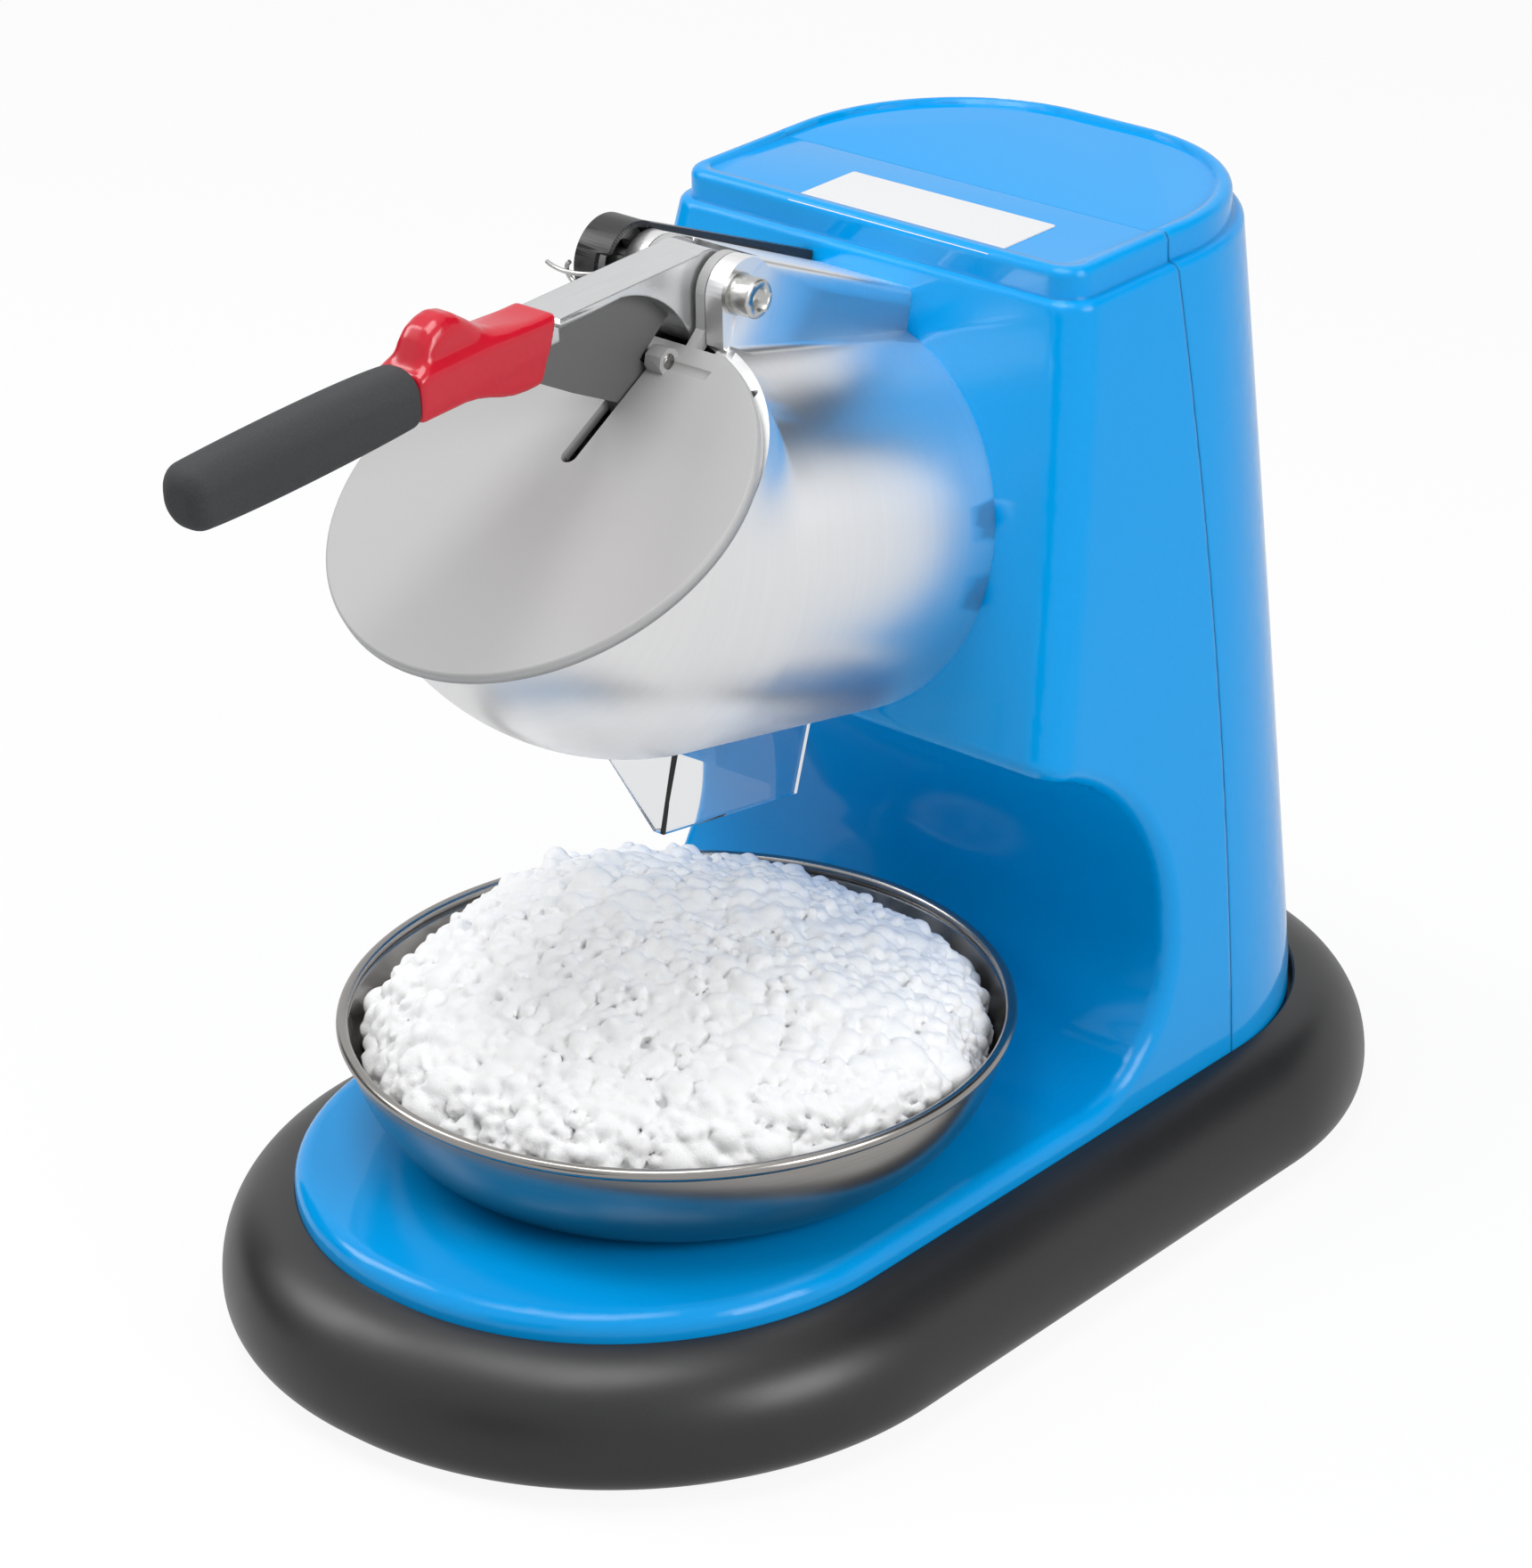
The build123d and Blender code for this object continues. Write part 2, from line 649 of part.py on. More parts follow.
def at_cap(x):
    """Location on the axis of the interlock cap, with Z pointing to +X."""
    return Pos(x, cap_y, cap_z) * Rot(0, 90, 0)


def pivot_bolt():
    """Socket-head bolt with a cross hole near its end."""
    seat = ear_outer + 2 * washer_t
    shank = at_pivot(bolt_end_x) * extrude(Circle(pivot_r), seat - bolt_end_x)
    head = at_pivot(seat) * extrude(Circle(head_r), head_h)
    head = chamfer(head.edges().sort_by(Axis.X)[-1:], 0.5)
    socket = at_pivot(seat + head_h - 3) * extrude(RegularPolygon(2.9, 6), 5)
    bolt = shank + head - socket
    return bolt - at_pin(0) * Cylinder(split_pin_r + bore_gap, 20)


def at_pin(reach):
    """Location on the split pin's axis, with Z pointing to the front."""
    return Pos(split_pin_x, pivot_y - reach, pivot_z) * Rot(90, 0, 0)


def pivot_washers():
    """Plain washer and spring washer under the bolt head."""
    plain = at_pivot(ear_outer) * tube(head_r + 0.4, pivot_r + 0.2, washer_t)
    spring = at_pivot(ear_outer + washer_t) * tube(head_r - 0.2, pivot_r + 0.2, washer_t)
    return [plain, spring]


def hitch_pin():
    """Split pin through the bolt: an eye behind it, a shank and two legs that are bent apart."""
    eye_r = 1.5
    start, tip = -pivot_r - 1.2, split_pin_reach - 1.0
    shank = at_pin(start) * extrude(Circle(split_pin_r), tip - start)
    eye = Pos(split_pin_x, pivot_y - start + eye_r, pivot_z) * Rot(0, 90, 0) * Torus(eye_r, leg_r)
    y, z = pivot_y - tip, pivot_z
    with BuildLine() as long_line:
        Spline([(split_pin_x, y + 2, z), (split_pin_x - 1.5, y - 0.6, z + 0.2),
                (split_pin_x - 15, y - 0.8, z + 0.4)])
    with BuildLine() as hook_line:
        Spline([(split_pin_x, y + 2, z), (split_pin_x - 2.2, y - 0.4, z - 1.0),
                (split_pin_x - 6.5, y - 0.6, z - 2.8), (split_pin_x - 8.6, y - 0.6, z - 0.4),
                (split_pin_x - 7.6, y - 0.6, z + 2.0)])
    body = shank + eye
    for wire in (long_line.line, hook_line.line):
        body += sweep(Plane(origin=wire @ 0, z_dir=wire % 0) * Circle(leg_r), path=wire)
    return body.solids().sort_by(SortBy.VOLUME)[-1]


def switch_housing():
    """Black interlock cover: a cup over the pivot's end and a tail along the ridge."""
    cup = at_cap(cap_end_x) * extrude(Circle(cap_r), -ear_outer - fit_gap - cap_end_x)
    neck_gap = -ear_outer - cap_mouth_x
    cup -= Pos(cap_mouth_x + neck_gap / 2, cap_y - 2, cap_z - 6) * Box(neck_gap, 4 * cap_r, 2 * cap_r)
    top = ridge_rear_v + 2.4
    cap_u, cap_v = to_drum(cap_y, cap_z)
    tail = Polyline((0.3, top - 9), (0.3, top), (cap_u, cap_v + cap_r), (cap_u, cap_v + cap_r - 9),
                    close=True)
    face = drum_side * make_face(tail)
    strip = extrude(face, 4.0, dir=(-1, 0, 0))
    strip = Pos(-ear_outer - fit_gap, 0, 0) * strip
    hollow = at_cap(cap_end_x + cap_wall) * extrude(Circle(cap_r - cap_wall), 40)
    body = cup + strip - hollow
    return body.solids().sort_by(SortBy.VOLUME)[-1]


def interlock_switch():
    """Ring-shaped interlock switch inside the cup."""
    ring = tube(cap_r - cap_wall - fit_gap, pivot_r + 2.6, 3.6)
    ring -= Pos(12, 0, 2) * Box(12, 8, 10)
    return at_cap(cap_end_x + cap_wall + 0.1) * ring


# ------------------------------------------------------------------ lid
def lid():
    """Round plastic lid with a web slot, a locating ring, two hinge lugs and the pin bosses."""
    plate = Pos(0, 0, -lid_t / 2) * Cylinder(lid_r, lid_t)
    plate = fillet(plate.edges().sort_by(Axis.Z)[-1:], 1.0)
    ring_r = drum_r - drum_wall - 0.8
    plate += Pos(0, mouth_s, -lid_t - 3) * tube(ring_r, ring_r - 1.6, 3.2)
    body = lid_plane.location * plate
    body -= lid_plane.location * Pos(0, lid_rear_s + 20, 0) * Box(2 * ear_outer + 1.2, 40, 20)
    front_y = ear_y - ear_r
    lug = make_face(Polyline((lid_rear_s - 6, -lid_t), (lid_rear_s - 6, 0), (lid_rear_s, 0),
                             to_lid(front_y, ear_low_z + 3.5), to_lid(front_y, ear_z),
                             to_lid(ear_y + 2, ear_z), to_lid(front_y + 6, ear_low_z + 2),
                             (lid_rear_s + 3, -lid_t), close=True))
    x0 = ear_inner - run_gap - lug_t
    arm = extrude(lid_side * lug, lug_t)
    eye = Pos(0, ear_y, ear_z) * Rot(0, 90, 0) * extrude(Circle(ear_r), lug_t)
    boss = make_face(Polyline((lift_pin_s - 3.4, -0.5), (lift_pin_s - 3.4, 2.2), (lift_pin_s - 1.6, 4.2),
                              (lift_pin_s + 1.6, 4.2), (lift_pin_s + 3.4, 2.2), (lift_pin_s + 3.4, -0.5),
                              close=True))
    cheek = extrude(lid_side * boss, x0 - slot_half() - 0.6)
    for sx in (-1, 1):
        shift = x0 if sx > 0 else -x0 - lug_t
        body += Pos(shift, 0, 0) * (arm + eye)
        inner = slot_half() + 0.6 if sx > 0 else -x0
        body += Pos(inner, 0, 0) * cheek
    slot_len = slot_rear_s - slot_front_s
    cutter = Pos(0, (slot_rear_s + slot_front_s) / 2, 0) * Rot(0, 0, 90) * SlotOverall(
        slot_len, 2 * slot_half())
    body -= lid_plane.location * extrude(cutter, 20, both=True)
    body -= at_pivot(-20) * extrude(Circle(pivot_r + bore_gap), 40)
    body -= lid_side * (Pos(lift_pin_s, lift_pin_n, 0) * Cylinder(lift_pin_r, 40))
    return body.solids().sort_by(SortBy.VOLUME)[-1]


def slot_half():
    """Half width of the lid's slot."""
    return web_t / 2 + 0.7


def lift_pin():
    """Pin across the slot that the lever's web rests on and lifts."""
    half = ear_inner - run_gap - lug_t
    return lid_side * (Pos(lift_pin_s, lift_pin_n, 0) * Cylinder(lift_pin_r, 2 * half))


# ------------------------------------------------------------------ lever
def polar(angle, radius):
    """Side-view point in the lid frame: angle below the lid's forward direction at the pivot."""
    a = radians(angle)
    return pivot_s - radius * cos(a), pivot_n - radius * sin(a)


handle_frame = Pos(0, grip_start_y, handle_z) * Rot(handle_lean, 0, 0) * Pos(0, -grip_start_y, 0)
pin_angle = degrees(atan2(pivot_n - lift_pin_n, pivot_s - lift_pin_s))
pin_dist = hypot(pivot_s - lift_pin_s, pivot_n - lift_pin_n)
pin_half_angle = degrees(asin((lift_pin_r + run_gap) / pin_dist))
notch_r = pin_dist + lift_pin_r + 0.6


def lever_web():
    """Steel web: it hangs from the arm, rests on the lift pin and carries the press plate."""
    shoulder = pin_angle - pin_half_angle
    hook = pin_angle + lift_travel + pin_half_angle
    plate_front = press_u + press_t
    low = drum_to_lid(plate_front, press_v - 22)
    high = drum_to_lid(plate_front, press_v + 16)
    tip = (30.8, 0.0)
    web_low = to_lid(*on_handle(sleeve_end_low_y + run_gap, -sleeve_root + 0.3))
    web_high = to_lid(sleeve_end_y + run_gap, flange_low_z() + 0.8)
    with BuildLine() as line:
        Polyline(web_low, to_lid(-65.5, 255.7), tip, polar(26, 44), polar(hook, 53), low, high,
                 polar(hook + 22, 26), polar(hook, pin_dist - 0.8), polar(hook, notch_r))
        ThreePointArc(polar(hook, notch_r), polar((hook + shoulder) / 2, notch_r), polar(shoulder, notch_r))
        Polyline(polar(shoulder, notch_r), polar(shoulder, barrel_r - 3), to_lid(-30, 277), web_high,
                 web_low)
    plate = side_slab(make_face(line.line), web_t / 2, lid_side)
    plate -= lever_arm_form()
    for spot in rivet_spots():
        plate -= rivet_hole(spot)
    return plate.solids().sort_by(SortBy.VOLUME)[-1]


def lever_arm_form():
    """Cast arm: top flange, curved gusset, barrel and the core bar inside the handle."""
    tip_y = sleeve_end_y + run_gap
    flange_z = flange_low_z() + flange_t
    gusset_y = pivot_y - 5.4
    with BuildLine() as line:
        Polyline((tip_y, flange_z), (pivot_y - 2.5, arm_top_z), (pivot_y, pivot_z), (gusset_y, arm_low_z))
        bend = ThreePointArc((gusset_y, arm_low_z), (pivot_y - 14.1, arm_low_z + 12.0),
                             (pivot_y - 30.5, flange_z - 0.9))
        Polyline(bend @ 1, (tip_y, flange_z - flange_t), (tip_y, flange_z))
    flange = side_slab(make_face(line.line), arm_half, Plane.YZ)
    barrel = Pos(0, pivot_y, pivot_z) * Rot(0, 90, 0) * Cylinder(barrel_r, 2 * arm_half)
    body = flange + barrel + handle_core(sleeve_end_y + 3)
    return body - Pos(0, pivot_y, pivot_z) * Rot(0, 90, 0) * Cylinder(pivot_r + bore_gap, 60)


def flange_low_z():
    """Height of the flange's underside beside the sleeve."""
    return on_handle(sleeve_end_y, sleeve_top)[1] - 1.9 - flange_t


def lever_arm():
    """The cast arm, slotted where the core meets the web."""
    return lever_arm_form().solids().sort_by(SortBy.VOLUME)[-1]


def on_handle(y, height):
    """Side-view point on the leaning handle: height above its middle line."""
    return y, handle_z + (y - grip_start_y) * tan(radians(handle_lean)) + height


def handle_core(end_y):
    """The arm's core bar inside the sleeve and the grip, up to end_y."""
    return handle_frame * rounded_bar(core_w, core_h, 1.5, grip_tip_y + 14, end_y, 0)


def thumb_sleeve():
    """Dipped red sleeve with a thumb rest on top."""
    y0, y1, low_y = grip_start_y, sleeve_end_y, sleeve_end_low_y
    with BuildLine() as line:
        Polyline((low_y, -sleeve_root), (y1, sleeve_top), (y0, sleeve_top), (y0, -sleeve_low),
                 (y0 + 20, -sleeve_low))
        step = Bezier((y0 + 20, -sleeve_low), (y0 + 26, -sleeve_low), (low_y - 12, -sleeve_root),
                      (low_y - 5, -sleeve_root))
        Line(step @ 1, (low_y, -sleeve_root))
    body = side_slab(make_face(line.line), sleeve_w / 2, Plane.YZ)
    body = fillet(body.edges().filter_by(lambda e: abs(abs((e @ 0.5).X) - sleeve_w / 2) < 0.01
                                         and e.length > 12 and abs((e % 0.5).Z) < 0.6), 3.6)
    peak = sleeve_top + 10.4
    with BuildLine() as line:
        bump = Spline([(y0 + 1.5, sleeve_top - 4), (y0 + 6, peak - 3.2), (y0 + 13.5, peak),
                       (y0 + 20, peak - 4.0), (y0 + 29, sleeve_top + 0.6), (y0 + 40, sleeve_top - 3)])
        Line(bump @ 1, bump @ 0)
    rest = side_slab(make_face(line.line), 5.6, Plane.YZ)
    body += fillet(rest.edges().filter_by(lambda e: e.length > 30 and (e @ 0.5).Z > sleeve_top + 1), 3.0)
    body = handle_frame * body
    return (body - handle_core(y1 + 5)).solids().sort_by(SortBy.VOLUME)[-1]


def grip():
    """Foam-rubber grip: slightly barrelled, with a rounded end."""
    neck = (grip_h - grip_neck_h) / 2
    y0, y1 = grip_tip_y, grip_start_y
    with BuildLine() as line:
        top = Bezier((y0, grip_h / 2 - neck), (y0 + 14, grip_h / 2), (y1 - 14, grip_h / 2 + neck),
                     (y1, grip_h / 2 - neck))
        low = Bezier((y1, neck - grip_h / 2), (y1 - 14, -grip_h / 2), (y0 + 14, -grip_h / 2 - neck),
                     (y0, neck - grip_h / 2))
        Line(top @ 1, low @ 0)
        Line(low @ 1, top @ 0)
    body = side_slab(make_face(line.line), grip_w / 2, Plane.YZ)
    body = fillet(body.edges().filter_by(lambda e: e.length > 40), 6.0)
    body = handle_frame * fillet(body.faces().sort_by(Axis.Y)[0].edges(), 3.4)
    body = Pos(0, grip_tip_y - body.bounding_box().min.Y, 0) * body
    body -= handle_frame * Pos(0, y1 + 10, 0) * Box(4 * grip_w, 20, 4 * grip_h)
    return body - handle_core(y1 + 5)


def rivet_spots():
    """Rivets through the press plate's cheeks and the web, in the lid's side frame."""
    u = press_u + press_t + 6
    return [drum_to_lid(u, press_v - 12), drum_to_lid(u, press_v + 8)]


def rivet_hole(spot, radius=2.0):
    """Cylinder along X at a rivet."""
    return lid_side * (Pos(spot[0], spot[1], 0) * Cylinder(radius, 40))


def press_plate():
    """Round press plate: ridged towards the blades, with two cheeks that hold the web."""
    plate = Pos(0, press_v, press_u + press_t / 2) * Cylinder(press_r, press_t)
    pitch = 8.0
    count = int(2 * press_r / pitch)
    for i in range(count):
        v = press_v + (i - (count - 1) / 2) * pitch
        plate -= Pos(0, v, press_u) * Rot(45, 0, 0) * Box(
            2 * press_r + 2, press_tooth * sqrt(2), press_tooth * sqrt(2))
    cheeks = Pos(0, press_v - 2, press_u + press_t + 6) * Box(2 * (web_t / 2 + 2.5), 34, 12)
    body = drum_plane.location * (plate + cheeks)
    slot = Pos(0, press_v, press_u + press_t + 20) * Box(web_t, 90, 40)
    body -= drum_plane.location * slot
    for spot in rivet_spots():
        body -= rivet_hole(spot)
    return body.solids().sort_by(SortBy.VOLUME)[-1]


def web_rivets():
    """Two rivets that join the web and the press plate."""
    half = web_t / 2 + 2.5
    rivets = []
    for s, n in rivet_spots():
        shank = Cylinder(2.0, 2 * half)
        heads = Pos(0, 0, half + 0.6) * Cylinder(3.4, 1.2) + Pos(0, 0, -half - 0.6) * Cylinder(3.4, 1.2)
        rivets.append(lid_side * (Pos(s, n, 0) * (shank + heads)))
    return rivets


# ------------------------------------------------------------------ blades and drive
def around(count, start=0.0):
    """Rotations about the drum axis for a polar pattern."""
    return [drum_plane.location * Rot(0, 0, start + 360 * i / count) for i in range(count)]


blade_len = 30.0
blade_w = 11.0
blade_t = 1.6
blade_tilt = 4.0
blade_x = 28.0


def blade_disc():
    """Slotted blade disc with a raised hub."""
    disc = Pos(0, 0, disc_u + disc_t / 2) * Cylinder(disc_r, disc_t)
    disc += Pos(0, 0, disc_u + disc_t) * Cylinder(10, 4)
    for i in range(blade_count):
        turn = Rot(0, 0, 360 * i / blade_count)
        disc -= turn * Pos(blade_x, -blade_w / 2 - 1.5, disc_u) * Box(blade_len, 3.0, 20)
        for dx in (-9, 9):
            disc -= turn * Pos(blade_x + dx, 2, disc_u) * Cylinder(1.5, 30)
    disc -= Pos(0, 0, disc_u) * Cylinder(shaft_r, 40)
    return drum_plane.location * disc


def blades():
    """Bevelled shaving blades bolted on the disc."""
    top = disc_u + disc_t
    out = []
    for place in around(blade_count):
        blade = Pos(blade_x, 0, top + blade_t / 2) * Box(blade_len, blade_w, blade_t)
        edge = blade.edges().filter_by(Axis.X).sort_by(lambda e: (e @ 0.5).Y + (e @ 0.5).Z)
        low_front = [e for e in edge if (e @ 0.5).Y < 0 and (e @ 0.5).Z > top + 0.1]
        blade = chamfer(low_front, 1.2)
        for dx in (-9, 9):
            blade -= Pos(blade_x + dx, 2, top) * Cylinder(1.5, 10)
        out.append(place * blade)
    return out


def blade_screws():
    """Small screws through blades and disc."""
    out = []
    for place in around(blade_count):
        for dx in (-9, 9):
            head = Pos(0, 0, disc_u + disc_t + blade_t + 0.7) * Cylinder(2.6, 1.4)
            shank = Pos(0, 0, disc_u + (disc_t + blade_t) / 2) * Cylinder(1.5, disc_t + blade_t)
            out.append(place * Pos(blade_x + dx, 2, 0) * (head + shank))
    return out


nut_u = disc_u + disc_t + 2.0


def disc_nut():
    """Domed nut that clamps the disc on the shaft."""
    nut = Pos(0, 0, nut_u) * extrude(RegularPolygon(7.2, 6), 4)
    dome = Pos(0, 0, nut_u + 1) * Sphere(5.5) & Pos(0, 0, nut_u + 8) * Box(20, 20, 10)
    return drum_plane.location * (nut + dome - Pos(0, 0, nut_u - 1) * extrude(Circle(shaft_r - 1), 5))


shaft_end_u = motor_u - motor_len - fan_w - 5


def motor_shaft():
    """Shaft from the fan through the motor to the blade disc, with a threaded nose."""
    long = nut_u - shaft_end_u
    shaft = Pos(0, 0, shaft_end_u) * extrude(Circle(shaft_r), long)
    nose = Pos(0, 0, nut_u) * extrude(Circle(shaft_r - 1), 4)
    return drum_plane.location * (shaft + nose)


def front_bearing():
    """Ball bearing outer envelope, seated in its housing behind the face."""
    return on_drum(0, 0, -bearing_w) * tube(bearing_r, shaft_r + bore_gap, bearing_w)


def shaft_seal():
    """Rubber seal round the shaft, in the drum floor."""
    return on_drum(0, 0, 0.1) * tube(bearing_r + 1.8, shaft_r + bore_gap, 3.0)


def bearing_housing():
    """Flanged seat for the bearing, against the inside of the front shell."""
    seat = tube(housing_r, bearing_r, bearing_w - shell_t)
    back = tube(housing_r, shaft_r + 2, 2.5)
    return on_drum(0, 0, -bearing_w) * seat + on_drum(0, 0, -bearing_w - 2.5) * back


def drive_posts():
    """Posts behind the face that carry the motor bracket, in the drum frame."""
    return [(sx * post_at, sv * post_at) for sx in (-1, 1) for sv in (-1, 1)]


def motor_bracket():
    """Steel plate between the posts and the motor, with cooling windows."""
    plate = extrude(RectangleRounded(2 * bracket_half, 2 * bracket_half, 6), bracket_t)
    plate -= Cylinder(13, 20)
    for x, v in drive_posts():
        plate -= Pos(x, v, 0) * Cylinder(screw_r + fit_gap, 20)
    for sx in (-1, 1):
        plate -= Pos(sx * 34, 0, 0) * Box(8, 30, 20)
    for sv in (-1, 1):
        plate -= Pos(0, sv * 20, 0) * Cylinder(screw_r, 20)
    return on_drum(0, 0, motor_u) * plate


def bracket_screws():
    """Screws through the bracket into the posts."""
    screw = Rot(180, 0, 0) * pan_screw(9)
    return [on_drum(x, v, motor_u) * screw for x, v in drive_posts()]


def motor():
    """Motor: round can with flats at the front, a rear cap and a through bore for its shaft."""
    can = extrude(Circle(motor_r), -motor_len)
    can -= Pos(0, 0, -10) * (Box(4 * motor_r, 4 * motor_r, 20) - Box(2 * post_at - 9, 4 * motor_r, 20))
    can = fillet(can.faces().sort_by(Axis.Z)[0].edges(), 4)
    for sv in (-1, 1):
        can -= Pos(0, sv * 20, 0) * Cylinder(screw_r, 20)
    can -= Cylinder(shaft_r + bore_gap, 300)
    return (on_drum(0, 0, motor_u) * can).solids().sort_by(SortBy.VOLUME)[-1]


def motor_screws():
    """Two screws that hold the motor to its bracket."""
    return [on_drum(0, sv * 20, motor_u + bracket_t) * pan_screw(11) for sv in (-1, 1)]


def cooling_fan():
    """Fan on the back end of the shaft."""
    hub = extrude(Circle(9), fan_w)
    for i in range(8):
        vane = Pos(19, 0, fan_w / 2) * Rot(32, 0, 0) * Box(24, 1.6, fan_w + 2)
        hub += Rot(0, 0, 45 * i) * vane
    hub &= extrude(Circle(fan_r), fan_w)
    hub -= Cylinder(shaft_r, 60)
    return on_drum(0, 0, motor_u - motor_len - fan_w - 3) * hub


def terminal_block():
    """Terminal strip on the base plate, where the lead and the motor wires meet."""
    block = Box(48, 18, 14, align=(Align.CENTER, Align.CENTER, Align.MIN))
    for i in range(4):
        x = -18 + 12 * i
        block -= Pos(x, 0, 14) * Cylinder(2.6, 8)
        block -= Pos(x, 0, 4) * Box(5, 30, 4)
    return Pos(0, 118, plate_z + plate_t) * block


# ------------------------------------------------------------------ power switch
def power_switch_body():
    """Switch body with its bezel on the column's side and an open well for the rocker."""
    bezel = Pos(0, 0, 1.1) * Box(switch_w + 5, switch_h + 5, 1.8)
    bezel = chamfer(bezel.faces().sort_by(Axis.Z)[-1].edges(), 0.6)
    body = bezel + Pos(0, 0, -7) * Box(switch_w - 2 * fit_gap, switch_h - 2 * fit_gap, 18)
    body -= Pos(0, 0, -1) * Box(switch_w - 4, switch_h - 4, 12)
    return switch_plane().location * body


def power_rocker():
    """Rocker, tipped to its off position."""
    w, h = switch_w - 4 - 2 * run_gap, switch_h - 4 - 2 * run_gap - 0.6
    with BuildLine() as line:
        Polyline((-h / 2, 1.6), (-h / 2 + 1.0, -1.5), (h / 2 - 1.0, -1.5), (h / 2, 1.6), (0, 0.6),
                 (-h / 2, 1.6))
    side = Plane(origin=(0, 0, 0), x_dir=(0, 1, 0), z_dir=(1, 0, 0)) * make_face(line.line)
    rocker = extrude(side, w / 2, both=True) + Rot(0, 90, 0) * Cylinder(1.4, w)
    return switch_plane().location * Pos(0, 0, 0.6) * Rot(-rocker_throw / 2, 0, 0) * rocker


# ------------------------------------------------------------------ bowl and ice
def bowl_profile(offset):
    """Half section of the bowl's wall line, offset inwards."""
    z0 = tray_z + run_gap
    r0, r1, z1 = bowl_base_r - offset, bowl_rim_r - rim_bead - offset, z0 + bowl_height - rim_bead
    return z0, r0, r1, z1


def bowl():
    """Pressed steel bowl with a rolled rim."""
    z0, r0, r1, z1 = bowl_profile(0)
    t = bowl_wall
    with BuildLine() as line:
        Line((0, z0), (r0, z0))
        outer = Bezier((r0, z0), (r0 + 12, z0), (r1 - 4, z0 + 12), (r1, z1))
        Line(outer @ 1, (r1 - t, z1))
        inner = Bezier((r1 - t, z1), (r1 - 4 - t, z0 + 12 + t), (r0 + 12, z0 + t), (r0, z0 + t))
        Polyline(inner @ 1, (0, z0 + t), (0, z0))
    wall = revolve(Plane.XZ * make_face(line.line), Axis.Z)
    bead = revolve(Plane.XZ * Pos(r1, z1) * Circle(rim_bead), Axis.Z)
    return Pos(0, bowl_y, 0) * (wall + bead)


def shaved_ice():
    """Heap of shaved ice in the bowl."""
    z0, r0, r1, z1 = bowl_profile(0)
    t = bowl_wall + run_gap
    with BuildLine() as line:
        Line((0, z0 + t), (r0, z0 + t))
        wall = Bezier((r0, z0 + t), (r0 + 12 - t, z0 + t), (r1 - 5.5 - t, z0 + 12 + t), (r1 - t - 2.4, z1 - 6))
        top = Spline([wall @ 1, (r1 - 12, z1 + 3), (r1 - 42, ice_peak_z - 8), (18, ice_peak_z - 1), (0, ice_peak_z)],
                     tangents=[(-0.3, 1), (-1, 0)])
        Line(top @ 1, (0, z0 + t))
    return Pos(0, bowl_y, 0) * revolve(Plane.XZ * make_face(line.line), Axis.Z)


# ------------------------------------------------------------------ build
def main():
    """Write every node."""
    save("base_skirt", base_skirt())
    save("base_plate", base_plate())
    save("rubber_feet", *rubber_feet())
    save("base_screws", *base_screws())
    front_blank, rear_blank = shells()
    save("front_shell", front_shell(front_blank))
    save("rear_cover", rear_cover(rear_blank))
    save("cover_screws", *cover_screws())
    save("cord_gland", cord_gland())
    save("hopper_drum", hopper_drum())
    save("drum_screws", *drum_screws())
    save("discharge_chute", discharge_chute())
    save("pivot_bolt", pivot_bolt())
    save("pivot_washers", *pivot_washers())
    save("hitch_pin", hitch_pin())
    save("switch_housing", switch_housing())
    save("interlock_switch", interlock_switch())
    save("lid", lid())
    save("lift_pin", lift_pin())
    save("lever_arm", lever_arm())
    save("lever_web", lever_web())
    save("thumb_sleeve", thumb_sleeve())
    save("grip", grip())
    save("press_plate", press_plate())
    save("web_rivets", *web_rivets())
    save("blade_disc", blade_disc())
    save("blades", *blades())
    save("blade_screws", *blade_screws())
    save("disc_nut", disc_nut())
    save("motor_shaft", motor_shaft())
    save("front_bearing", front_bearing())
    save("shaft_seal", shaft_seal())
    save("bearing_housing", bearing_housing())
    save("motor_bracket", motor_bracket())
    save("bracket_screws", *bracket_screws())
    save("motor", motor())
    save("motor_screws", *motor_screws())
    save("cooling_fan", cooling_fan())
    save("terminal_block", terminal_block())
    save("power_switch_body", power_switch_body())
    save("power_rocker", power_rocker())
    save("bowl", bowl())
    save("shaved_ice", shaved_ice())


main()
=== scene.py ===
# %% [markdown]
# # A countertop shaved ice machine
#
# This lesson dresses a finished CAD model of a shaved ice machine: a blue plastic body on a black
# skirt, a brushed steel ice drum under a round grey lid, a press lever with a red thumb rest, and
# a steel bowl full of shaved ice. The CAD model is loaded first and never moves. Everything made
# here is in metres and in the same frame: +X right, +Y back, +Z up, with the origin on the table.

# %% Load the CAD frame
import bpy
import bmesh
import json
import math
import numpy as np
from mathutils import Matrix, Vector

